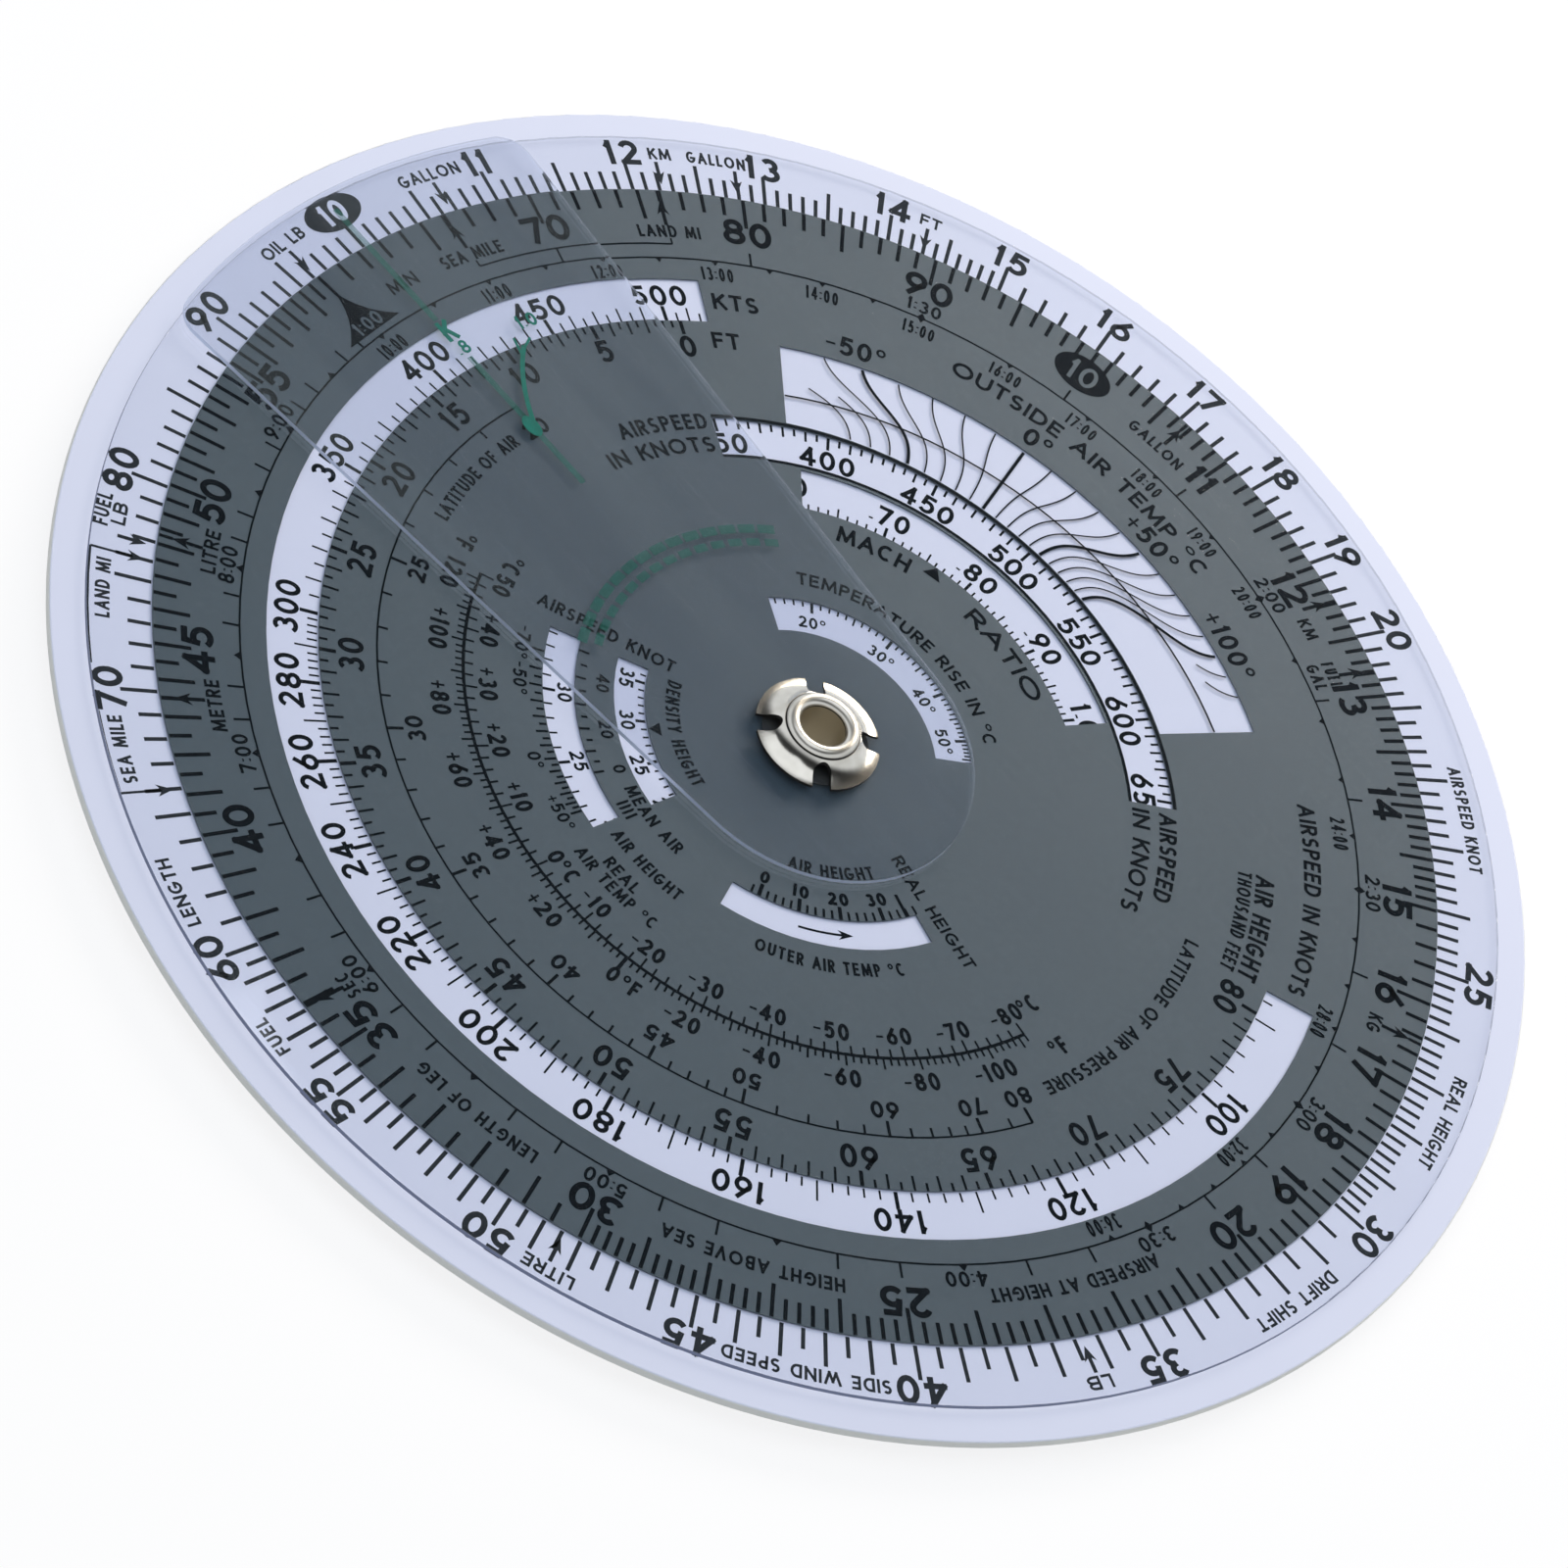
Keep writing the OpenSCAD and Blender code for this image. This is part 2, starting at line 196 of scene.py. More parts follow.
# Width over height, and the strokes of each character in a unit box
GLYPHS = {
    "0": (0.66, [bow(0.5, 0.5, 0.5, 0.5, 90, 450)]),
    "1": (0.34, [run((0.0, 0.74), (0.3, 0.83), (0.72, 1), (0.72, 0))]),
    "2": (0.64, [chain(bow(0.5, 0.72, 0.47, 0.28, 165, -35), run((0.02, 0), (1, 0)))]),
    "3": (0.64, [chain(bow(0.47, 0.755, 0.42, 0.245, 150, -90), bow(0.47, 0.265, 0.53, 0.265, 80, -150))]),
    "4": (0.68, [run((0.74, 0), (0.74, 1), (0, 0.27), (1, 0.27))]),
    "5": (0.64, [chain(run((0.9, 1), (0.2, 1), (0.1, 0.52)), bow(0.45, 0.33, 0.55, 0.33, 125, -145))]),
    "6": (0.66, [SIX]),
    "7": (0.62, [run((0, 1), (1, 1), (0.36, 0))]),
    "8": (0.66, [bow(0.5, 0.76, 0.42, 0.24, -90, 270), bow(0.5, 0.26, 0.5, 0.26, 90, 450)]),
    "9": (0.66, [NINE]),
    "A": (0.72, [run((0, 0), (0.5, 1), (1, 0)), run((0.18, 0.33), (0.82, 0.33))]),
    "B": (0.58, [chain(run((0, 0.52), (0, 1), (0.5, 1)), bow(0.5, 0.76, 0.44, 0.24, 70, -90),
                       run((0, 0.52))),
                 chain(run((0, 0), (0, 0.52), (0.5, 0.52)), bow(0.5, 0.26, 0.5, 0.26, 70, -90),
                       run((0, 0)))]),
    "C": (0.70, [bow(0.52, 0.5, 0.5, 0.5, 50, 310)]),
    "D": (0.66, [chain(run((0, 0), (0, 1), (0.4, 1)), bow(0.4, 0.5, 0.6, 0.5, 70, -90), run((0, 0)))]),
    "E": (0.52, [run((1, 1), (0, 1), (0, 0), (1, 0)), run((0, 0.52), (0.88, 0.52))]),
    "F": (0.50, [run((1, 1), (0, 1), (0, 0)), run((0, 0.5), (0.86, 0.5))]),
    "G": (0.76, [chain(bow(0.5, 0.5, 0.5, 0.5, 50, 352), run((0.56, 0.44)))]),
    "H": (0.64, [run((0, 0), (0, 1)), run((1, 0), (1, 1)), run((0, 0.52), (1, 0.52))]),
    "I": (0.14, [run((0.5, 0), (0.5, 1))]),
    "K": (0.60, [run((0, 0), (0, 1)), run((0.95, 1), (0, 0.4)), run((0.34, 0.62), (1, 0))]),
    "L": (0.46, [run((0, 1), (0, 0), (1, 0))]),
    "M": (0.84, [run((0, 0), (0.1, 1), (0.5, 0.12), (0.9, 1), (1, 0))]),
    "N": (0.68, [run((0, 0), (0, 1), (1, 0), (1, 1))]),
    "O": (0.84, [bow(0.5, 0.5, 0.5, 0.5, 90, 450)]),
    "P": (0.54, [chain(run((0, 0), (0, 1), (0.5, 1)), bow(0.5, 0.74, 0.5, 0.26, 70, -90), run((0, 0.48)))]),
    "R": (0.56, [chain(run((0, 0), (0, 1), (0.5, 1)), bow(0.5, 0.74, 0.5, 0.26, 70, -90), run((0, 0.48))),
                 run((0.45, 0.48), (1, 0))]),
    "S": (0.54, [chain(bow(0.5, 0.745, 0.46, 0.255, 35, 270), bow(0.5, 0.245, 0.5, 0.245, 70, -145))]),
    "T": (0.56, [run((0, 1), (1, 1)), run((0.5, 1), (0.5, 0))]),
    "U": (0.64, [chain(run((0, 1)), bow(0.5, 0.36, 0.5, 0.36, 180, 360), run((1, 1)))]),
    "V": (0.66, [run((0, 1), (0.5, 0), (1, 1))]),
    "W": (1.00, [run((0, 1), (0.27, 0), (0.5, 0.8), (0.73, 0), (1, 1))]),
    "Y": (0.64, [run((0, 1), (0.5, 0.5), (1, 1)), run((0.5, 0.5), (0.5, 0))]),
    "-": (0.42, [run((0, 0.46), (1, 0.46))]),
    "+": (0.50, [run((0, 0.46), (1, 0.46)), run((0.5, 0.14), (0.5, 0.78))]),
    ".": (0.14, [run((0.5, 0), (0.5, 0.1))]),
    ":": (0.14, [run((0.5, 0.1), (0.5, 0.22)), run((0.5, 0.62), (0.5, 0.74))]),
    "°": (0.44, [bow(0.5, 0.81, 0.5, 0.19, 90, 450, 30)]),
    " ": (0.30, []),
}

# Shares of a character's height: the gap to the next and the widths of strokes
LETTER_GAP = 0.17
STROKE = 0.185
BOLD_STROKE = 0.2
CAPTION_STROKE = 0.19

# A sign's stroke as a share of a number's
SIGN_STROKE = 0.6

# Sharpest turn of a stroke that isn't cut there, and the cosine that keeps a corner from growing past it
SHARP_TURN = math.radians(103)
CORNER_COSINE = 0.62

# Heights of overlapping shapes, with steps far below the ink's thickness
LAYER = 1e-4 * MM
LAYERS = 8

# Corner order of a box: two rings of left low, left high, right high, right low
BOX_FACES = np.array([[3, 2, 1, 0], [4, 5, 6, 7], [1, 5, 4, 0], [2, 6, 5, 1], [3, 7, 6, 2], [0, 4, 7, 3]])


def offset_sides(path, width, closed):
    """Left and right sides of a path: each point moves along the mean of its two normals, by half the
    width over the cosine of half the turn, so that straight runs keep their width at a corner."""
    steps = np.diff(np.vstack([path, path[:1]]) if closed else path, axis=0)
    steps /= np.linalg.norm(steps, axis=1, keepdims=True)
    normals = np.column_stack([-steps[:, 1], steps[:, 0]])
    before = np.roll(normals, 1, axis=0) if closed else np.vstack([normals[:1], normals])
    after = normals if closed else np.vstack([normals, normals[-1:]])
    mean = before + after
    mean /= np.linalg.norm(mean, axis=1, keepdims=True)
    cosine = np.clip(np.sum(mean * after, axis=1, keepdims=True), CORNER_COSINE, 1)
    shift = mean * width / (2 * cosine)
    return path + shift, path - shift


def square_strokes(path, width):
    """Parts of an open path, cut at its sharp turns. A straight end that is longer than the stroke's width
    is drawn out by half of it, so that strokes meet at a corner and fill their box."""
    steps = np.diff(path, axis=0)
    lengths = np.linalg.norm(steps, axis=1)
    ways = steps / lengths[:, None]
    sharp = np.flatnonzero(np.sum(ways[1:] * ways[:-1], axis=1) < math.cos(SHARP_TURN)) + 1
    bounds = [0, *sharp, len(path) - 1]
    for first, last in zip(bounds, bounds[1:]):
        part = path[first:last + 1].copy()
        if lengths[first] > width:
            part[0] -= ways[first] * width / 2
        if lengths[last - 1] > width:
            part[-1] += ways[last - 1] * width / 2
        yield part


class InkSheet:
    """Flat ink shapes of one thickness, gathered as closed solids between two heights. Each lies one of
    eight tiny steps higher than the one before, so that no two faces coincide where shapes overlap.

    A mirrored sheet lies on a back face: x changes sign, and the order of each face is turned round.
    """

    def __init__(self, low, high, mirrored=False):
        self.low = low
        self.high = high
        self.mirrored = mirrored
        self.corners = []
        self.faces = []
        self.count = 0

    def add(self, corners, *faces):
        """Adds a solid's corners and its arrays of faces, which count from the solid's first corner."""
        self.corners.append(corners + np.array([0, 0, LAYER * (len(self.corners) % LAYERS)]))
        for group in faces:
            self.faces.extend((group + self.count).tolist())
        self.count += len(corners)

    def sides(self, left, right):
        """Corner rings of a flat strip: left low, left high, right high and right low at each point."""
        rings = np.empty((*left.shape[:-1], 4, 3))
        rings[..., 0:2, 0:2] = left[..., None, :]
        rings[..., 2:4, 0:2] = right[..., None, :]
        rings[..., (0, 3), 2] = self.low
        rings[..., (1, 2), 2] = self.high
        return rings

    def ribbon(self, path, width, closed=False):
        """Carries a rectangle, width by ink thickness, along a path."""
        rings = self.sides(*offset_sides(path, width, closed))
        count = len(path)
        here = np.arange(count if closed else count - 1)[:, None]
        ahead = (here + 1) % count
        side = np.arange(4)[None, :]
        turn = (side + 1) % 4
        quads = [here * 4 + turn, ahead * 4 + turn, ahead * 4 + side, here * 4 + side]
        faces = [np.stack(quads, axis=-1).reshape(-1, 4)]
        if not closed:
            last = 4 * count - 4
            faces.append(np.array([[3, 2, 1, 0], [last, last + 1, last + 2, last + 3]]))
        self.add(rings.reshape(-1, 3), *faces)

    def ticks(self, angles, start_r, end_r, width):
        """One box for each angle between two radii, all worked out in one array."""
        angles, start_r, end_r = np.broadcast_arrays(np.atleast_1d(angles), start_r, end_r)
        inner, outer = np.minimum(start_r, end_r), np.maximum(start_r, end_r)
        ends = np.stack([polar(angles, inner), polar(angles, outer)], 1)
        across = polar(angles + 90, width / 2)[:, None]
        rings = self.sides(ends - across, ends + across)
        faces = BOX_FACES[None] + 8 * np.arange(len(angles))[:, None, None]
        self.add(rings.reshape(-1, 3), faces.reshape(-1, 4))

    def arc(self, radius, width, start, end):
        """Band along an arc of a circle, with a point every 3 degrees. A full turn is closed."""
        closed = end - start >= 360
        angles = np.linspace(start, end, int((end - start) / 3) + 2)
        path = polar(angles, radius)
        self.ribbon(path[:-1] if closed else path, width, closed)

    def prism(self, outline):
        """Filled outline, given counter-clockwise: two caps and a wall for each side."""
        count = len(outline)
        corners = np.empty((2 * count, 3))
        corners[:, :2] = np.vstack([outline, outline])
        corners[:count, 2] = self.low
        corners[count:, 2] = self.high
        here = np.arange(count)
        ahead = (here + 1) % count
        walls = np.stack([here, ahead, count + ahead, count + here], axis=1)
        self.add(corners, walls, np.stack([here[::-1], count + here]))

    def wedge(self, angle, tip_r, back_r, half_w):
        """Solid triangle on a radius, pointing from its back radius to its tip radius."""
        side = polar(angle + 90, half_w)
        back = polar(angle, back_r)
        outline = np.array([polar(angle, tip_r), back - side, back + side])
        self.prism(outline if tip_r > back_r else outline[::-1])

    def arrow(self, angle, tip_r, tail_r, half_w, stem_w):
        """Barbed arrow on a radius: a stem from its tail, and a head with swept barbs and a hollow back,
        which lie 0.58 and 0.4 of the length behind the tip."""
        barb = polar(angle, tip_r + 0.58 * (tail_r - tip_r))
        hollow_r = tip_r + 0.4 * (tail_r - tip_r)
        side = polar(angle + 90, half_w)
        head = np.array([polar(angle, tip_r), barb - side, polar(angle, hollow_r), barb + side])
        self.prism(head if tip_r > tail_r else head[::-1])
        self.ticks(angle, hollow_r, tail_r, stem_w)

    def oval(self, angle, radius, half_w, half_h):
        """Filled ellipse, half_w along the ring and half_h along the radius."""
        shape = bow(0, 0, half_w, half_h, 0, 350, 10)
        across, up = polar(angle + 90, 1), polar(angle, 1)
        self.prism(polar(angle, radius) + shape[:, :1] * across + shape[:, 1:] * up)

    def text(self, words, angle, radius, height, stretch=1.0, spread=0.0, span=None, upside=False,
             weight=STROKE, radial=False):
        """Sets characters round a circle, tops outwards, or inwards where upside. A radial text runs
        straight along the radius instead. Each stroke is the unit glyph scaled to its box. A span stretches
        the words to that length, and a sign hangs out before its number, which is centred alone."""
        shares = np.array([GLYPHS[c][0] for c in words])
        gap = LETTER_GAP * height + spread
        if span:
            stretch = (span - gap * (len(words) - 1)) / (height * shares.sum())
        widths = shares * height * stretch
        ends = np.cumsum(widths + gap)
        sign = widths[0] + gap if words[0] in "+-" else 0
        centres = ends - gap - widths / 2 - (ends[-1] - gap + sign) / 2
        way = -1 if upside else 1
        for character, width, centre in zip(words, widths, centres):
            turn = angle if radial else angle + way * math.degrees(centre / radius)
            across = polar(turn if radial else turn + 90, way)
            up = polar(turn - 90 if radial else turn, way)
            middle = polar(turn, radius) + (centre * across if radial else 0)
            stroke = weight * height * (SIGN_STROKE if character in "+-°" else 1)
            for path in GLYPHS[character][1]:
                box = np.array([max(width - stroke, 0.2 * stroke), height - stroke])
                local = (path - 0.5) * box
                placed = middle + local[:, :1] * across + local[:, 1:] * up
                if np.allclose(path[0], path[-1]):
                    self.ribbon(placed[:-1], stroke, True)
                    continue
                for part in square_strokes(placed, stroke):
                    self.ribbon(part, stroke)

    def build(self, name, body, material, slot):
        """Makes the gathered shapes one piece that rides on a body."""
        corners = np.vstack(self.corners)
        faces = self.faces
        if self.mirrored:
            corners = corners * (-1, 1, 1)
            faces = [face[::-1] for face in faces]
        mesh = bpy.data.meshes.new(name)
        mesh.from_pydata(corners.tolist(), [], faces)
        mesh.materials.append(material)
        piece = bpy.data.objects.new(name, mesh)
        bpy.context.collection.objects.link(piece)
        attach(piece, body)


# Laws of the scales, each from a value to degrees clockwise from +Y

def log_law(turn):
    """One decade to a full turn: angle = turn + 360 log10(value / 10)."""
    return lambda value: turn + 360 * np.log10(np.asarray(value) / 10)


def bent_law(first, step, angle, rise, bend):
    """Slightly bent scale: angle + rise s - bend s^2, where s counts steps from the first value."""
    return lambda value: angle + rise * (value - first) / step - bend * ((value - first) / step) ** 2


def impact(speed):
    """Impact pressure share of a calibrated airspeed in knots: (1 + 0.2 (v / a)^2)^3.5 - 1."""
    return (1 + 0.2 * (np.asarray(speed) / 661.5) ** 2) ** 3.5 - 1


def airspeed_law(speed):
    """Log of the impact pressure, counted from 400 knots."""
    return -4.43 + 147.5 * np.log10(impact(speed) / impact(400))


def height_law(height):
    """Log of the standard pressure at a height in thousands of feet, with the layer above 36 089 feet
    at one temperature: p = (1 - h / 145.4)^5.2559, then falling by e every 20.8 thousand feet."""
    height = np.asarray(height, float)
    low = (1 - np.minimum(height, 36.089) / 145.442) ** 5.2559
    share = low * np.exp(-np.maximum(height - 36.089, 0) / 20.806)
    return 28.9 + 147 * np.log10(share)


def latitude_law(latitude):
    """Log of the sine of the latitude, run backwards."""
    return 192.95 - 360 * np.log10(np.sin(np.radians(latitude)))


def celsius_law(temperature):
    """Even scale: 1.1015 degrees of turn for each degree Celsius."""
    return 276.5 + 1.1015 * np.asarray(temperature, float)


def fahrenheit_law(temperature):
    """The same arc read in degrees Fahrenheit."""
    return celsius_law((np.asarray(temperature, float) - 32) / 1.8)


EVEN_LAW = bent_law(0, 1, 0, 1, 0)
TRUE_SPEED_LAW = bent_law(350, 50, 29.3, 19.1, 0.378)
MACH_LAW = bent_law(0.7, 0.1, 61.0, 19.9, 0.7)
RISE_LAW = bent_law(20, 10, 44.95, 33.07, 2.725)
SMALL_SPEED_LAW = bent_law(25, 5, 294.6, 17.7, 0)
DENSITY_LAW = bent_law(25, 5, 291.7, 14.9, 0)
WARMTH_LAW = bent_law(50, -10, 283.0, 2.0, -0.095)
THIN_AIR_LAW = bent_law(0, 10, 291.0, 5.4, -0.25)
CLIMB_LAW = bent_law(0, 10, 241.1, -11.3, 0.27)

# Share of a step that counts as none
CLOSE = 0.01


def graded_ticks(sheet, law, low, high, radius, grades, width):
    """Ticks at every multiple of the first grade's step. The last grade whose step divides a value gives
    its length, which is outwards where positive and inwards where negative."""
    step = grades[0][0]
    values = low + step * np.arange(int((high - low) / step + CLOSE) + 1)
    lengths = np.zeros(len(values))
    for multiple, length in grades:
        shares = values / multiple
        lengths = np.where(np.abs(shares - np.round(shares)) < CLOSE, length, lengths)
    sheet.ticks(law(values), radius, radius + lengths, width)


def scale_ring(sheet, law, low, high, share, *rows):
    """Rows of ticks on one ring, whose radius is a share of the scale radius. Each row is a width and its
    grades, with their lengths in millimetres."""
    for width, *grades in rows:
        lengths = [(step, length * MM) for step, length in grades]
        graded_ticks(sheet, law, low, high, share * SCALE_R, lengths, width)


def slide_rule(sheet, law, radius, way, sizes):
    """Ticks of a whole decade, with a coarser step as they crowd together."""
    for low, high, step, long_step in ((10, 14.9, 0.1, 0.5), (15, 29.8, 0.2, 1), (30, 59.5, 0.5, 1),
                                       (60, 99, 1, 5)):
        grades = ((step, way * sizes.short_tick), (long_step, way * sizes.long_tick))
        graded_ticks(sheet, law, low, high, radius, grades, sizes.tick_w)


def numbers(sheet, law, values, radius, height, form="{:g}", **style):
    """Sets each value at its place on a scale."""
    for value in values:
        sheet.text(form.format(value), float(law(value)), radius, height, **style)


def captions(sheet, places, height, **style):
    """Sets words between two angles, at a radius that is given as a share of the scale radius."""
    for words, start, end, share in places:
        radius = share * SCALE_R
        sheet.text(words, (start + end) / 2, radius, height, span=math.radians(end - start) * radius,
                   weight=CAPTION_STROKE, **style)


RULE_NUMBERS = [*range(11, 21), *range(25, 60, 5), 60, 70, 80, 90]

# Gap between a slide rule's ticks and the dial's edge
RULE_GAP = 0.1 * MM


# Prints of the base disc

def base_rim_print(sheet, white_sheet, sizes):
    """Outer slide rule on the rim of the base, with its index badge, unit arrows and words."""
    rule = log_law(0)
    row = 1.0725
    ring = row * SCALE_R
    slide_rule(sheet, rule, SCALE_R + RULE_GAP, 1, sizes)
    numbers(sheet, rule, RULE_NUMBERS, ring, sizes.number_h, stretch=1.12, weight=BOLD_STROKE)
    sheet.oval(0, ring, 3.55 * MM, 2.05 * MM)
    white_sheet.text("10", 0, ring, 2.6 * MM, weight=BOLD_STROKE)
    for angle in (10.15, 31.4, 38.5, 55.9, 201.8, 246.7, 295.0, 317.1, 318.7, 353.9):
        sheet.arrow(angle, 1.014 * SCALE_R, 1.057 * SCALE_R, 0.66 * MM, 0.4 * MM)
    bracket = 1.0935 * SCALE_R
    for start, end, turned in ((295.0, 302.2, 295.0), (306.4, 317.1, 317.1)):
        sheet.arc(bracket, sizes.line_w, start, end)
        sheet.ticks(turned, 1.002 * SCALE_R, bracket, 0.26 * MM)
    captions(sheet, (
        ("GALLON", 7.2, 13.2, row), ("KM", 30.9, 32.9, row), ("GALLON", 34.3, 39.5, row),
        ("FT", 55.1, 57.0, row), ("AIRSPEED KNOT", 121.9, 132.1, row), ("REAL HEIGHT", 152.9, 162.8, row),
        ("DRIFT SHIFT", 177.3, 186.3, row), ("LB", 200.7, 202.9, row),
        ("SIDE WIND SPEED", 219.2, 232.6, row), ("LITRE", 244.4, 248.6, row), ("FUEL", 271.3, 274.5, row),
        ("LENGTH", 283.2, 289.1, row), ("SEA MILE", 295.8, 301.8, row), ("LAND MI", 310.7, 316.2, row),
        ("FUEL", 319.3, 322.4, 1.084), ("LB", 319.8, 321.9, 1.059), ("OIL LB", 351.6, 356.4, row),
    ), sizes.caption_h)


def base_window_print(sheet, sizes):
    """Inner rings of the base, which show through the dial's windows."""
    fine, bold = sizes.fine_tick_w, sizes.bold_tick_w
    thin, medium = 0.8 * fine, 0.8 * bold
    r = SCALE_R
    scale_ring(sheet, airspeed_law, 60, 298, 0.7555, (thin, (2, 1.0), (10, 2.25)), (bold, (20, 1.9)))
    scale_ring(sheet, airspeed_law, 300, 600, 0.7555, (thin, (5, 1.0), (10, 1.6)), (bold, (50, 1.8)))
    speeds = [*range(60, 300, 20), *range(300, 601, 50)]
    numbers(sheet, airspeed_law, speeds, 0.8025 * r, 2.5 * MM, stretch=1.07)
    scale_ring(sheet, TRUE_SPEED_LAW, 250, 800, 0.5735, (fine, (5, -0.85), (10, -1.2)),
               (medium, (50, -1.55)))
    numbers(sheet, TRUE_SPEED_LAW, range(250, 801, 50), 0.5293 * r, 2.4 * MM, stretch=1.05)
    scale_ring(sheet, MACH_LAW, 0.5, 1.2, 0.426, (thin, (0.01, 0.75), (0.05, 1.25)), (medium, (0.1, 1.4)))
    row, height = 0.4665 * r, 2.4 * MM
    for value in (0.6, 0.7, 0.8, 0.9):
        sheet.text("{:.2f}".format(value)[1:], float(MACH_LAW(value)), row, height)
    numbers(sheet, MACH_LAW, (1.0, 1.1), row, height, "{:.1f}")
    scale_ring(sheet, RISE_LAW, 10, 60, 0.2503, (thin, (1, -0.6), (5, -0.9)), (medium, (10, -1.2)))
    numbers(sheet, RISE_LAW, (20, 30, 40, 50), 0.214 * r, 1.35 * MM, "{:g}°")
    scale_ring(sheet, SMALL_SPEED_LAW, 10, 45, 0.4165, (thin, (1, -0.9)), (medium, (5, -1.3)))
    numbers(sheet, SMALL_SPEED_LAW, range(10, 46, 5), 0.3825 * r, 1.5 * MM, upside=True)
    scale_ring(sheet, DENSITY_LAW, 0, 60, 0.2625, (thin, (1, 0.6)), (medium, (5, 1.0)))
    numbers(sheet, DENSITY_LAW, range(0, 61, 5), 0.2905 * r, 1.5 * MM, upside=True)
    middle = 0.333 * r
    sheet.arc(middle, 0.25 * MM, 216.5, 229.2)
    tip, back, hollow = (polar(angle, middle) for angle in (214.6, 218.6, 217.4))
    side = polar(218.6, 0.55 * MM)
    sheet.prism(np.array([tip, back + side, hollow, back - side]))


def base_back_print(sheet, sizes):
    """Slide rule round the back of the base, outside the wind disc."""
    rule = log_law(0)
    ring = 1.085 * SCALE_R
    slide_rule(sheet, rule, WIND_R + 0.5 * MM, 1, sizes)
    numbers(sheet, rule, RULE_NUMBERS, ring, sizes.number_h)
    sheet.oval(0, ring, 3.3 * MM, 1.9 * MM)


# Prints of the dial

def dial_rule_print(sheet, grey_sheet, sizes):
    """Slide rule round the dial, with its index badge, hour index, unit arrows and words."""
    turn = math.degrees(sizes.dial_turn)
    rule = log_law(turn)
    r = SCALE_R
    slide_rule(sheet, rule, r - RULE_GAP, -1, sizes)
    straddling = [value for value in RULE_NUMBERS if value != 60]
    numbers(sheet, rule, straddling, 0.9345 * r, 3.2 * MM, stretch=1.15, spread=-0.1 * MM,
            weight=BOLD_STROKE)
    sheet.oval(turn, 0.94 * r, 3.25 * MM, 2.35 * MM)
    grey_sheet.text("10", turn, 0.94 * r, 2.9 * MM, weight=0.15)
    hour = float(rule(60))
    tip = polar(hour, 0.964 * r)
    left, right = (polar(hour + lean, 0.884 * r) for lean in (-3.75, 3.75))
    waist_left, waist_right = (polar(hour + lean, 0.915 * r) for lean in (-0.7, 0.7))
    down = curve(tip, waist_left, left, 7)
    back = curve(right, waist_right, tip, 7)
    sheet.prism(np.vstack([down, back[:-1]]))
    grey_sheet.text("1:00", hour, 0.898 * r, 1.6 * MM)
    for angle in (8.95, 30.65, 83.8, 104.6, 112.1, 151.7, 273.7, 303.6, 319.9):
        sheet.arrow(angle, 0.98 * r, 0.9335 * r, 0.68 * MM, 0.4 * MM)
        sheet.ticks(angle, 0.978 * r, r - RULE_GAP, 0.36 * MM)
    ends = (9.0, 30.7)
    sheet.arc(0.898 * r, sizes.line_w, *ends)
    sheet.ticks(ends, 0.898 * r, 0.909 * r, sizes.line_w)
    row = 0.922
    captions(sheet, (
        ("MIN", -1.4, 2.1, row), ("SEA MILE", 5.4, 12.5, row), ("LAND MI", 27.5, 33.9, row),
        ("GALLON", 80.1, 86.5, 0.921), ("KM", 105.6, 107.9, row), ("FUEL", 110.6, 113.3, row),
        ("GAL", 110.6, 113.5, 0.893), ("KG", 150.8, 152.9, row), ("AIRSPEED AT HEIGHT", 190.9, 208.8, row),
        ("HEIGHT ABOVE SEA", 222.5, 239.5, row), ("LENGTH OF LEG", 251.7, 264.4, row),
        ("SEC", 272.4, 274.9, row), ("METRE", 300.4, 305.8, 0.92), ("LITRE", 317.4, 322.2, row),
    ), 1.5 * MM)


def dial_hour_print(sheet, sizes):
    """Ring of hours inside the slide rule: angle of the minutes on the same law, wrapped round. Up to ten
    hours read outwards from the ring, and later hours read inwards."""
    rule = log_law(math.degrees(sizes.dial_turn))
    ring = 0.8716 * SCALE_R
    label_h = 1.65 * MM
    sheet.arc(ring, sizes.line_w, 0, 360)
    tens = np.array([minute for minute in range(70, 600, 10) if minute % 30])
    sheet.ticks(rule(tens), ring, ring + 1.65 * MM, sizes.fine_tick_w)
    for minute in range(90, 600, 30):
        sheet.wedge(float(rule(minute)), ring + 0.7 * MM, ring, 0.5 * MM)
    for minute in (90, 120, 150, 180, 210, *range(240, 541, 60)):
        label = "{}:{:02d}".format(minute // 60, minute % 60)
        sheet.text(label, float(rule(minute)), 0.8945 * SCALE_R, label_h)
    for minute in (*range(600, 900, 30), *range(900, 2161, 60)):
        sheet.wedge(float(rule(minute)), ring - 0.6 * MM, ring, 0.42 * MM)
    for hours in (*range(10, 21), 24, 28, 32, 36):
        sheet.text("{}:00".format(hours), float(rule(60 * hours)), 0.8465 * SCALE_R, label_h, stretch=0.58,
                   weight=0.155)


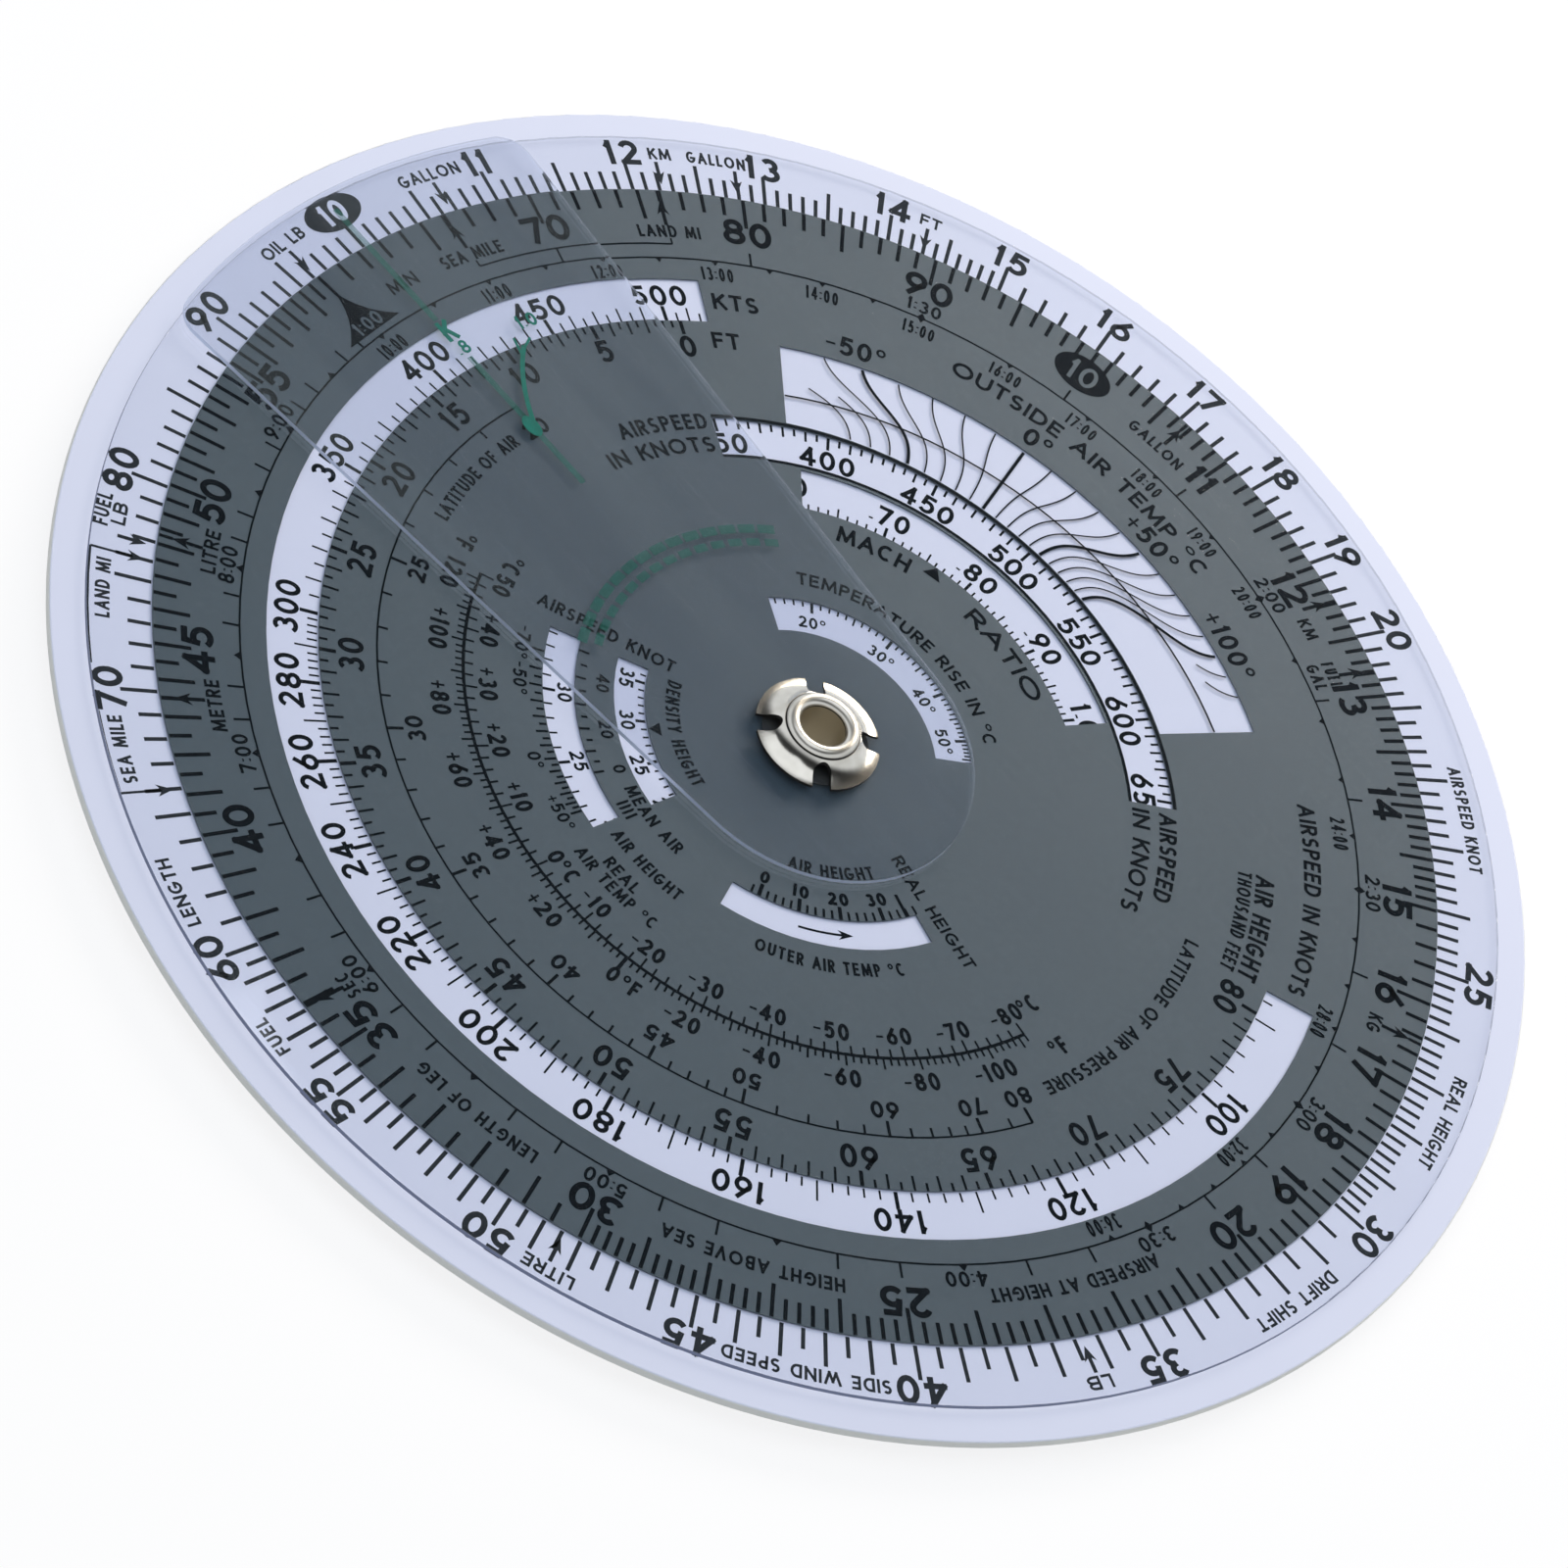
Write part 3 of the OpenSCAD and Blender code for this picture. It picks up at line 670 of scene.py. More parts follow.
def dial_inner_print(sheet, sizes):
    """Heights, latitudes and temperatures printed on the grey, round the windows."""
    fine, bold = sizes.fine_tick_w, sizes.bold_tick_w
    r = SCALE_R
    scale_ring(sheet, height_law, 0, 80, 0.7535, (fine, (0.5, -0.85), (1, -1.6)), (bold, (5, -1.65)))
    numbers(sheet, height_law, range(0, 81, 5), 0.7062 * r, 2.6 * MM)
    ring = 0.667
    sheet.arc(ring * r, sizes.line_w, 195.3, 360.7)
    for low, high, step in ((20, 50, 1), (52, 70, 2), (75, 80, 5)):
        scale_ring(sheet, latitude_law, low, high, ring, (fine, (step, -1.05)))
    latitudes = (80, 70, 60, 50, 45, 40, 35, 30, 25, 20)
    sheet.ticks(latitude_law(np.array(latitudes)), ring * r, ring * r - 1.7 * MM, 0.8 * bold)
    numbers(sheet, latitude_law, latitudes, 0.6235 * r, 1.85 * MM, stretch=1.07, weight=BOLD_STROKE)
    ring, celsius_row, fahrenheit_row = 0.5374, 0.5007, 0.5764
    sheet.arc(ring * r, sizes.bold_line_w, 188.4, 331.7)
    scale_ring(sheet, celsius_law, -80, 50, ring, (0.9 * fine, (2, -1.0), (10, -1.35)))
    scale_ring(sheet, fahrenheit_law, -112, 120, ring, (0.9 * fine, (2, 0.8), (10, 1.25)))
    sheet.ticks(fahrenheit_law(0), ring * r, ring * r + 1.7 * MM, bold)
    style = {"upside": True, "stretch": 0.9, "weight": BOLD_STROKE}
    for law, values, row, height in ((celsius_law, range(-80, 50, 10), celsius_row, 1.9 * MM),
                                     (fahrenheit_law, range(-100, 120, 20), fahrenheit_row, 1.95 * MM)):
        numbers(sheet, law, [value for value in values if value], row * r, height, "{:+g}", **style)
    for row, places in (
            (celsius_row, (("0", 276.5), ("°C", 273.2), ("50", 331.4), ("°C", 336.3), ("°C", 184.1))),
            (fahrenheit_row, (("0", 256.9), ("°F", 254.0), ("120", 329.6), ("°F", 336.0),
                              ("°F", 184.6)))):
        for words, angle in places:
            sheet.text(words, angle, row * r, 1.9 * MM, **style)
    sheet.arc(0.5765 * r, 0.36 * MM, 28.8, 131.6)
    sheet.arc(0.504 * r, 0.34 * MM, 28.8, 131.6)
    sheet.wedge(73.3, 0.4265 * r, 0.404 * r, 1.0 * MM)
    sheet.wedge(303.6, 0.2605 * r, 0.242 * r, 0.75 * MM)


def dial_small_print(sheet, sizes):
    """Short scales beside the small windows."""
    fine = sizes.fine_tick_w
    r = SCALE_R
    scale_ring(sheet, WARMTH_LAW, -70, 50, 0.4185, (fine, (5, 0.75), (10, 1.25)))
    for values, form in (((50, -50, -70), "{:+g}°"), ((0,), "{:g}°")):
        numbers(sheet, WARMTH_LAW, values, 0.4515 * r, 1.4 * MM, form, upside=True)
    scale_ring(sheet, THIN_AIR_LAW, 0, 50, 0.352, (fine, (5, 0.65), (10, 1.1)))
    numbers(sheet, THIN_AIR_LAW, (0, 20, 40), 0.3265 * r, 1.35 * MM, upside=True)
    ring = 0.3085
    scale_ring(sheet, CLIMB_LAW, -2, 38, ring, (fine, (2, -0.95)))
    scale_ring(sheet, CLIMB_LAW, 0, 30, ring, (sizes.bold_tick_w, (10, -1.45)))
    sheet.ticks(197.4, ring * r, 0.27 * r, sizes.bold_line_w)
    numbers(sheet, CLIMB_LAW, (0, 10, 20, 30), 0.2735 * r, 1.45 * MM, upside=True, weight=0.24)


# Kelvins at 0 degrees Celsius
FREEZING = 273.15


def off_centre(angle):
    """How far the temperature window's outer edge leaves its circle: 0.9 mm times the cosine of the angle
    from its middle."""
    return 0.9 * MM * np.cos(np.radians(angle - 170))


def temperature_curves(sheet, sizes):
    """S-shaped lines across the temperature window. From the window's inner to its outer edge each runs
    from 148 to 252 times the log of the absolute temperature, eased by half of 1 + tanh(3.6 (s - 0.52)),
    and is cut off at the window's ends and its off-centre outer edge. The coldest lines keep to the inner
    half, and the hottest to the outer half."""
    r = SCALE_R
    start, end = 41.3, 118.1
    share = np.linspace(0, 1, 41)
    ease = 0.5 + 0.5 * np.tanh(3.6 * (share - 0.52)) / math.tanh(1.8)
    radii = (0.582 + 0.158 * share) * r
    for celsius in range(-80, 121, 10):
        warmth = math.log10((celsius + FREEZING) / FREEZING)
        angles = 73.6 + 148 * warmth + (252 - 148) * warmth * ease
        inside = (angles > start) & (angles < end) & (radii < 48.6 * MM + off_centre(angles))
        inside &= (celsius > -70) | (radii < 0.658 * r)
        inside &= (celsius < 110) | (radii > 0.694 * r)
        if np.count_nonzero(inside) > 2:
            width = sizes.bold_line_w if celsius % 50 == 0 else sizes.curve_w
            sheet.ribbon(polar(angles[inside], radii[inside]), width)
    sweep = np.linspace(start, end, 30)
    sheet.ribbon(polar(sweep, np.linspace(0.633, 0.675, 30) * r), sizes.line_w)
    for label, angle in (("-50°", 51.5), ("0°", 74.1), ("+50°", 92.3), ("+100°", 107.4)):
        sheet.text(label, angle, 48.7 * MM + off_centre(angle) + 2.1 * MM, 2.4 * MM)


def dial_words(sheet):
    """Words on the grey, naming what each scale reads."""
    captions(sheet, (("KTS", 33.6, 39.0, 0.7945), ("FT", 32.4, 36.0, 0.7205)), 2.0 * MM)
    captions(sheet, (("AIRSPEED", 12.3, 27.8, 0.5665), ("IN KNOTS", 7.6, 27.8, 0.5245),
                     ("AIRSPEED", 132.8, 149.4, 0.5625), ("IN KNOTS", 132.8, 154.0, 0.5195),
                     ("AIRSPEED IN KNOTS", 127.7, 153.3, 0.7958)), 1.85 * MM)
    captions(sheet, (("OUTSIDE AIR TEMP °C", 61.9, 97.5, 0.8085), ("MACH", 51.0, 68.3, 0.3968),
                     ("RATIO", 84.3, 109.0, 0.3968), ("AIR HEIGHT", 139.0, 154.8, 0.7188)), 2.0 * MM)
    captions(sheet, (("TEMPERATURE RISE IN °C", 40.0, 121.0, 0.29),
                     ("THOUSAND FEET", 139.1, 154.8, 0.6865),
                     ("LATITUDE OF AIR PRESSURE", 153.5, 190.7, 0.6255),
                     ("LATITUDE OF AIR", 337.3, 356.7, 0.625)), 1.5 * MM)
    captions(sheet, (("OUTER AIR TEMP °C", 204.5, 238.5, 0.391), ("AIR HEIGHT", 202.2, 235.3, 0.2305),
                     ("DENSITY HEIGHT", 278.7, 326.4, 0.2195), ("AIR TEMP °C", 256.7, 276.2, 0.4593),
                     ("REAL", 263.6, 271.9, 0.4317), ("AIR HEIGHT", 256.7, 276.2, 0.389),
                     ("MEAN AIR", 264.2, 285.6, 0.324), ("FEET", 277.6, 282.2, 0.35)),
             1.45 * MM, upside=True)
    sheet.text("REAL HEIGHT", 189.3, 0.315 * SCALE_R, 1.4 * MM, span=13.2 * MM, radial=True)
    sheet.text("AIRSPEED KNOT", 332.6, 0.337 * SCALE_R, 1.5 * MM, span=14.6 * MM, upside=True, radial=True)


# Prints of the cursor and the back discs

def cursor_print(sheet, thin_sheet):
    """Thin hairline down the middle of the cursor, with a branch that forks off to the right, the numbers
    that they stand for, and two rows of bars round the hub."""
    r = SCALE_R
    hairline = 0.68 * MM
    for inner, outer in ((0.512, 0.768), (0.843, 1.072)):
        thin_sheet.ribbon(np.array([polar(0, inner * r), polar(0, outer * r)]), hairline)
    foot, knee, head = polar(0.3, 0.622 * r), polar(3.0, 0.698 * r), polar(7.2, 0.748 * r)
    sheet.ribbon(curve(foot, knee, head, 12), 0.5 * MM)
    for angle, reach in ((6.6, 0.765), (8.6, 0.757)):
        sheet.ribbon(np.array([polar(6.2, 0.738 * r), polar(angle, reach * r)]), 0.28 * MM)
    sheet.oval(0, 0.627 * r, 0.8 * MM, 1.3 * MM)
    sheet.text("K", 0.2, 0.8205 * r, 2.5 * MM, weight=BOLD_STROKE)
    sheet.text(".8", 0.2, 0.786 * r, 1.6 * MM)
    sheet.text("1.0", 9.5, 0.786 * r, 1.6 * MM)
    for start in range(-34, 36, 5):
        thin_sheet.arc(0.368 * r, 1.0 * MM, start, start + 4.2)
        thin_sheet.arc(0.344 * r, 0.85 * MM, start + 1, start + 4.6)


def degree_ring(sheet, rim_r, lengths, depth, sizes):
    """Ring of degrees inside a disc's rim: ticks of three lengths in millimetres at every degree, and a
    number every ten degrees at a depth below the rim."""
    grades = [(step, -length * MM) for step, length in zip((1, 5, 10), lengths)]
    graded_ticks(sheet, EVEN_LAW, 0, 359, rim_r - 0.8 * MM, grades, sizes.fine_tick_w)
    numbers(sheet, EVEN_LAW, range(0, 360, 10), rim_r - depth, sizes.small_number_h)


def wind_grid_print(sheet, sizes):
    """Grid of squares and speed circles under the clear azimuth disc, each line cut at the ring."""
    reach = AZIMUTH_R - 9 * MM
    pitch = 4 * MM
    gap = 7 * MM
    for i in range(-10, 11):
        half = math.sqrt(reach ** 2 - (i * pitch) ** 2)
        width = sizes.fine_tick_w if i % 5 == 0 else 0.6 * sizes.fine_tick_w
        for way in (-1, 1):
            inner = math.sqrt(max(gap ** 2 - (i * pitch) ** 2, 0)) if i else gap
            ends = np.array([(i * pitch, way * inner), (i * pitch, way * half)])
            sheet.ribbon(ends if way > 0 else ends[::-1], width)
            sheet.ribbon(ends[:, ::-1], width)
    for radius in np.arange(10, reach / MM, 10) * MM:
        sheet.arc(radius, sizes.line_w, 0, 360)
    sheet.arc(reach, sizes.line_w, 0, 360)


# Materials

def add_node(tree, kind, inputs=None, **settings):
    """Adds a node, sets its own settings, and sets each input to a value or links it from a socket. A node
    among the inputs stands for its first output in use."""
    node = tree.nodes.new(kind)
    for name, value in settings.items():
        setattr(node, name, value)
    for name, value in (inputs or {}).items():
        if isinstance(value, bpy.types.Node):
            value = next(socket for socket in value.outputs if socket.enabled)
        if isinstance(value, bpy.types.NodeSocket):
            tree.links.new(value, node.inputs[name])
        else:
            node.inputs[name].default_value = value
    return node


def node_adder(owner):
    """Empties the node tree of a material or a world, and gives the function that adds nodes to it."""
    owner.use_nodes = True
    owner.node_tree.nodes.clear()
    return partial(add_node, owner.node_tree)


def finish_of(name, surface, *settings, **choices):
    """The material of that name, made on first use by a function that adds its nodes and gives the last."""
    material = bpy.data.materials.get(name)
    if not material:
        material = bpy.data.materials.new(name)
        node = node_adder(material)
        node("ShaderNodeOutputMaterial", {"Surface": surface(node, *settings, **choices)})
    return material


def per_mm(size):
    """Noise scale in Object coordinates for a feature of a size in millimetres."""
    return 1 / (size * MM)


def shade(colour, share):
    """A linear colour times a share, up to full white."""
    return tuple(min(c * share, 1.0) for c in colour[:3]) + (1.0,)


def white_vinyl(node, finish, rim_r):
    """Rigid white vinyl sheet, calendered to a satin face: a cool white with faint clouding a centimetre
    across, a fine orange peel, and a beige-grey sawn edge."""
    place = node("ShaderNodeTexCoord").outputs["Object"]
    clouds = node("ShaderNodeTexNoise", {"Vector": place, "Scale": per_mm(11), "Detail": 3.0})
    face = node("ShaderNodeMix", {"Factor": clouds, "A": shade(finish.white, 0.95), "B": finish.white},
                data_type="RGBA")
    flat = node("ShaderNodeVectorMath", {0: place, 1: (1.0, 1.0, 0.0)}, operation="MULTIPLY")
    reach = node("ShaderNodeVectorMath", {0: flat}, operation="LENGTH")
    edge = node("ShaderNodeMapRange", {"Value": reach, "From Min": rim_r - 0.2 * MM,
                                       "From Max": rim_r - 0.05 * MM})
    colour = node("ShaderNodeMix", {"Factor": edge, "A": face, "B": finish.core}, data_type="RGBA")
    peel = node("ShaderNodeTexNoise", {"Vector": place, "Scale": per_mm(0.6), "Detail": 2.0})
    bump = node("ShaderNodeBump", {"Height": peel, "Strength": 0.12, "Distance": 0.02 * MM})
    gloss = node("ShaderNodeMapRange", {"Value": clouds, "To Min": 0.5, "To Max": 0.62})
    return node("ShaderNodeBsdfPrincipled", {
        "Base Color": colour, "Roughness": gloss, "Normal": bump, "Specular IOR Level": 0.3})


def clear_vinyl(node, finish, tint, wall, haze):
    """Clear rigid vinyl, press-polished: glass-like faces with a slow ripple a few centimetres long that
    breaks up reflections, fine scuffs, and a diffuse veil in smears a centimetre wide along the sheet,
    which is handling haze and also painted reflection streaks. Shadow and diffuse rays pass straight
    through the faces. The sawn walls and their broken edges, where the normal leans over, are frosted in
    the wall colour given, and stop a share of the light from either side; that colour is painted shade on
    the clear discs and a painted highlight on the cursor."""
    place = node("ShaderNodeTexCoord").outputs["Object"]
    ripple = node("ShaderNodeTexNoise", {"Vector": place, "Scale": per_mm(30), "Detail": 1.0})
    bump = node("ShaderNodeBump", {"Height": ripple, "Strength": 0.25, "Distance": 0.5 * MM})
    drawn = ((node("ShaderNodeMapping", {"Vector": place, "Rotation": (0.0, 0.0, turn),
                                         "Scale": (1.0, share, 1.0)}), per_mm(size))
             for turn, share, size in ((0.6, 0.03, 0.4), (0.2, 0.12, 9)))
    scuffs, smears = (node("ShaderNodeTexNoise", {"Vector": along, "Scale": scale, "Detail": 2.0})
                      for along, scale in drawn)
    # The smeared veil is handling haze and also painted reflection streaks
    rough, haze_and_painted_streaks = (
        node("ShaderNodeMapRange", {"Value": noise, "From Min": low, "From Max": high, "To Min": least,
                                    "To Max": most})
        for noise, low, high, least, most in ((scuffs, 0.45, 0.75, 0.02, 0.07),
                                              (smears, 0.38, 0.62, 0.4 * haze, 1.7 * haze)))
    glass = node("ShaderNodeBsdfPrincipled", {"Base Color": tint, "Transmission Weight": 1.0, "IOR": 1.5,
                                              "Roughness": rough, "Normal": bump})
    veil = node("ShaderNodeBsdfDiffuse", {"Color": finish.haze})
    wear_and_painted_light = node("ShaderNodeMixShader", {"Fac": haze_and_painted_streaks, 1: glass, 2: veil})
    through = node("ShaderNodeBsdfTransparent", {"Color": linear("#FFFFFF")})
    ray = node("ShaderNodeLightPath").outputs
    passes = node("ShaderNodeMath", {0: ray["Is Shadow Ray"], 1: ray["Is Diffuse Ray"]},
                  operation="MAXIMUM")
    face = node("ShaderNodeMixShader", {"Fac": passes, 1: wear_and_painted_light, 2: through})
    surface = node("ShaderNodeNewGeometry").outputs
    upright = node("ShaderNodeSeparateXYZ", {"Vector": surface["True Normal"]}).outputs["Z"]
    flatness = node("ShaderNodeMath", {0: upright}, operation="ABSOLUTE")
    sawn = node("ShaderNodeMapRange", {"Value": flatness, "From Min": 0.95, "From Max": 0.85})
    inner = node("ShaderNodeMath", {0: passes, 1: surface["Backfacing"]}, operation="MAXIMUM")
    let_by = node("ShaderNodeMath", {0: inner, 1: 0.75}, operation="MULTIPLY")
    # The wall colour is painted shade on the clear discs and a painted highlight on the cursor
    frosted = node("ShaderNodeBsdfPrincipled", {"Base Color": wall, "Roughness": 0.5})
    edge = node("ShaderNodeMixShader", {"Fac": let_by, 1: frosted, 2: through})
    return node("ShaderNodeMixShader", {"Fac": sawn, 1: face, 2: edge})


def printed_ink(node, colour, blot=0.5, roughness=0.6, gloss=0.0, cover=1.0):
    """Screen-printed ink: an almost even film that pales in blots a few tenths of a millimetre across. Ink
    that is bonded under a clear sheet has no gloss of its own, and a thin ink shows what is under it."""
    place = node("ShaderNodeTexCoord").outputs["Object"]
    blots = node("ShaderNodeTexNoise", {"Vector": place, "Scale": per_mm(0.8), "Detail": 3.0})
    share = node("ShaderNodeMapRange", {"Value": blots, "From Min": 0.4, "From Max": 0.75})
    tone = node("ShaderNodeMix", {"Factor": share, "A": tuple(colour), "B": shade(colour, 1 + blot)},
                data_type="RGBA")
    bump = node("ShaderNodeBump", {"Height": blots, "Strength": 0.1, "Distance": 0.01 * MM})
    return node("ShaderNodeBsdfPrincipled", {
        "Base Color": tone, "Roughness": roughness, "Normal": bump, "Specular IOR Level": gloss,
        "Alpha": cover})


def nickel_plate(node, finish):
    """Bright nickel on stamped brass: a soft mirror, a little warm, duller on the rolled ring, with faint
    stains a few millimetres across. The brass is bare and dull in the bore, on the barrel and under the
    washer. The seam round the ring's foot and the sheared edges of the brim are painted dark: painted shade
    in the crease and a painted shadow along the brim's edge."""
    place = node("ShaderNodeTexCoord").outputs["Object"]
    flat = node("ShaderNodeVectorMath", {0: place, 1: (1.0, 1.0, 0.0)}, operation="MULTIPLY")
    reach = node("ShaderNodeVectorMath", {0: flat}, operation="LENGTH")
    facing = node("ShaderNodeNewGeometry").outputs["True Normal"]
    height, upright = (node("ShaderNodeSeparateXYZ", {"Vector": way}).outputs["Z"]
                       for way in (place, facing))
    square = node("ShaderNodeMath", {0: upright, 1: upright}, operation="MULTIPLY")
    stains, pits = (node("ShaderNodeTexNoise", {"Vector": place, "Scale": per_mm(size), "Detail": 2.0})
                    for size in (3, 0.5))
    # The seam and sheared masks put painted shade into the colour, and take the roughness and the metal
    # down with it
    (stained, on_barrel, below_ring, facing_down, in_front, near_ring, under_seam, over_crown, wall,
     on_brim) = (
        node("ShaderNodeMapRange", {"Value": value, "From Min": low, "From Max": high})
        for value, low, high in (
            (stains, 0.45, 0.8),
            (reach, BARREL_R + 0.15 * MM, BARREL_R + 0.05 * MM),
            (height, RING_FOOT + 0.25 * MM, RING_FOOT - 0.1 * MM),
            (upright, -0.05, -0.2),
            (height, BASE_FRONT, BASE_FRONT + 0.1 * MM),
            (reach, RING_R + 0.17 * MM, RING_R + 0.1 * MM),
            (height, RING_FOOT + 0.14 * MM, RING_FOOT + 0.1 * MM),
            (height, RING_FOOT - 0.1 * MM, RING_FOOT - 0.05 * MM),
            (square, 0.16, 0.04),
            (reach, RING_R + 0.2 * MM, RING_R + 0.3 * MM)))
    bore, hollow, crown, sheared = (
        node("ShaderNodeMath", {0: first, 1: second}, operation="MULTIPLY")
        for first, second in ((on_barrel, below_ring), (facing_down, in_front), (under_seam, over_crown),
                              (wall, on_brim)))
    seam = node("ShaderNodeMath", {0: crown, 1: near_ring}, operation="MULTIPLY")
    bare, dark = (node("ShaderNodeMath", {0: first, 1: second}, operation="MAXIMUM")
                  for first, second in ((bore, hollow), (seam, sheared)))
    wear_and_painted_light = node("ShaderNodeMath", {0: bare, 1: dark}, operation="MAXIMUM")
    colour = finish.nickel
    for share, tone in ((stained, finish.stain), (bare, finish.tarnish), (dark, finish.grime)):
        colour = node("ShaderNodeMix", {"Factor": share, "A": colour, "B": tone}, data_type="RGBA")
    polish = node("ShaderNodeMapRange", {"Value": height, "From Min": RING_FOOT,
                                         "From Max": RING_FOOT + 0.1 * MM, "To Min": 0.17, "To Max": 0.3})
    rough = node("ShaderNodeMix", {"Factor": wear_and_painted_light, "A": polish, "B": 0.5}, data_type="FLOAT")
    metal = node("ShaderNodeMapRange", {"Value": wear_and_painted_light, "To Min": 1.0, "To Max": 0.3})
    bump = node("ShaderNodeBump", {"Height": pits, "Strength": 0.08, "Distance": 0.02 * MM})
    return node("ShaderNodeBsdfPrincipled", {
        "Base Color": colour, "Metallic": metal, "Roughness": rough, "Normal": bump})


def vulcanised_fibre(node, finish):
    """Thin black fibre washer: matt, with flecks half a millimetre long. Its black is partly painted shade,
    seen through the cursor in the notches of the spring washer.
    """
    place = node("ShaderNodeTexCoord").outputs["Object"]
    flecks = node("ShaderNodeTexNoise", {"Vector": place, "Scale": per_mm(0.5), "Detail": 4.0})
    tone = node("ShaderNodeMix", {"Factor": flecks, "A": shade(finish.fibre, 0.75), "B": finish.fibre},
                data_type="RGBA")
    return node("ShaderNodeBsdfPrincipled", {"Base Color": tone, "Roughness": 0.75})


def studio_paper(node):
    """White paper floor: full white to the camera, in gloss and through glass, apart from a share that
    keeps the object's shadow."""
    ray = node("ShaderNodeLightPath").outputs
    seen = ray["Is Camera Ray"]
    for other in ("Is Glossy Ray", "Is Transmission Ray"):
        seen = node("ShaderNodeMath", {0: seen, 1: ray[other]}, operation="MAXIMUM")
    share = node("ShaderNodeMath", {0: seen, 1: 0.8}, operation="MULTIPLY")
    paper = node("ShaderNodeBsdfDiffuse", {"Color": linear("#F6F6F6")})
    white = node("ShaderNodeEmission", {"Color": linear("#FFFFFF"), "Strength": 1.05})
    return node("ShaderNodeMixShader", {"Fac": share, 1: paper, 2: white})


def dress(name, material):
    """Gives a CAD node one material on all its slots."""
    slots = frame["nodes"][name].data.materials
    slots.clear()
    slots.append(material)


def clear_plate(finish):
    """Clear vinyl of the two clear discs, hardly hazed."""
    return finish_of("polished_clear_vinyl", clear_vinyl, finish, finish.clear, finish.wall, haze=0.0015)


def black_ink(finish):
    """Matt black ink of the scales."""
    return finish_of("black_screen_ink", printed_ink, finish.black)


def green_ink(finish):
    """Matt green ink of the cursor and the wind grid."""
    return finish_of("green_screen_ink", printed_ink, finish.green, blot=0.35, gloss=0.05)


# A slightly cool daylight for the room, and a warmer lamp at the side
DAYLIGHT = "#EDF4FF"
LAMPLIGHT = "#FDF2E4"


# Operators

class FLIGHT_OT_base_disc(bpy.types.Operator):
    """Finishes the base disc and prints both its faces"""

    bl_idname = "flight.base_disc"
    bl_label = "Base disc"

    def execute(self, context):
        sizes, finish = context.scene.flight_print, context.scene.flight_finish
        dress("base_disc", finish_of("satin_white_vinyl_base", white_vinyl, finish, BASE_R))
        ink_top = BASE_FRONT + sizes.ink_t
        rim, front = (InkSheet(BASE_FRONT, ink_top) for _ in range(2))
        white = InkSheet(ink_top, ink_top + 0.5 * sizes.ink_t)
        base_rim_print(rim, white, sizes)
        base_window_print(front, sizes)
        faded_ink = finish_of("faded_black_ink", printed_ink, finish.faded, blot=0.3)
        rim.build("base_rim_print", "base", faded_ink, "grey_print_film")
        front.build("base_front_print", "base", black_ink(finish), "grey_print_film")
        white_ink = finish_of("white_screen_ink", printed_ink, finish.white, blot=0, roughness=0.45,
                              gloss=0.3)
        white.build("base_index_number", "base", white_ink, "white_vinyl")
        back = InkSheet(BASE_BACK - sizes.ink_t, BASE_BACK, mirrored=True)
        base_back_print(back, sizes)
        back.build("base_back_print", "base", black_ink(finish), "grey_print_film")
        return {"FINISHED"}


class FLIGHT_OT_computing_disc(bpy.types.Operator):
    """Finishes the clear computing disc and the windowed film, and prints the dial between them"""

    bl_idname = "flight.computing_disc"
    bl_label = "Computing disc"

    def execute(self, context):
        sizes, finish = context.scene.flight_print, context.scene.flight_finish
        dress("computing_disc", clear_plate(finish))
        film = finish_of("grey_screen_film", printed_ink, finish.film, blot=0.1, roughness=0.45, gloss=0.31)
        dress("dial_mask", film)
        gap = PLATE_BACK - FILM_FRONT
        ink_low = FILM_FRONT + 0.15 * gap
        ink_top = FILM_FRONT + 0.55 * gap
        dial = InkSheet(ink_low, ink_top)
        grey = InkSheet(ink_top, ink_top + 0.25 * gap)
        dial_rule_print(dial, grey, sizes)
        dial_hour_print(dial, sizes)
        dial_inner_print(dial, sizes)
        dial_small_print(dial, sizes)
        temperature_curves(dial, sizes)
        dial_words(dial)
        dial.build("dial_print", "computing", black_ink(finish), "grey_print_film")
        grey.build("dial_index_numbers", "computing", film, "grey_print_film")
        return {"FINISHED"}


class FLIGHT_OT_cursor(bpy.types.Operator):
    """Finishes the clear cursor and prints its hairline underneath"""

    bl_idname = "flight.cursor"
    bl_label = "Cursor"

    def execute(self, context):
        sizes, finish = context.scene.flight_print, context.scene.flight_finish
        handled = finish_of("handled_clear_vinyl", clear_vinyl, finish, finish.cursor, finish.cursor_wall,
                            haze=0.012)
        dress("cursor", handled)
        low, high = CURSOR_BACK - sizes.ink_t, CURSOR_BACK - 0.1 * sizes.ink_t
        sheet, thin_sheet = (InkSheet(low, high) for _ in range(2))
        cursor_print(sheet, thin_sheet)
        sheet.build("cursor_print", "cursor_arm", green_ink(finish), "clear_vinyl")
        thin_ink = finish_of("thin_green_ink", printed_ink, finish.green, blot=0.35, gloss=0.05, cover=0.3)
        thin_sheet.build("cursor_hairline", "cursor_arm", thin_ink, "clear_vinyl")
        return {"FINISHED"}


class FLIGHT_OT_wind_disc(bpy.types.Operator):
    """Finishes the wind disc and prints its grid and its ring of degrees"""

    bl_idname = "flight.wind_disc"
    bl_label = "Wind disc"

    def execute(self, context):
        sizes, finish = context.scene.flight_print, context.scene.flight_finish
        dress("wind_disc", finish_of("satin_white_vinyl_wind", white_vinyl, finish, WIND_R))
        rim, grid = (InkSheet(WIND_BACK - sizes.ink_t, WIND_BACK, mirrored=True) for _ in range(2))
        degree_ring(rim, WIND_R, (1.6, 2.4, 3.2), 6.6 * MM, sizes)
        rim.build("wind_rim_print", "wind", black_ink(finish), "grey_print_film")
        wind_grid_print(grid, sizes)
        grid.build("wind_grid_print", "wind", green_ink(finish), "grey_print_film")
        return {"FINISHED"}


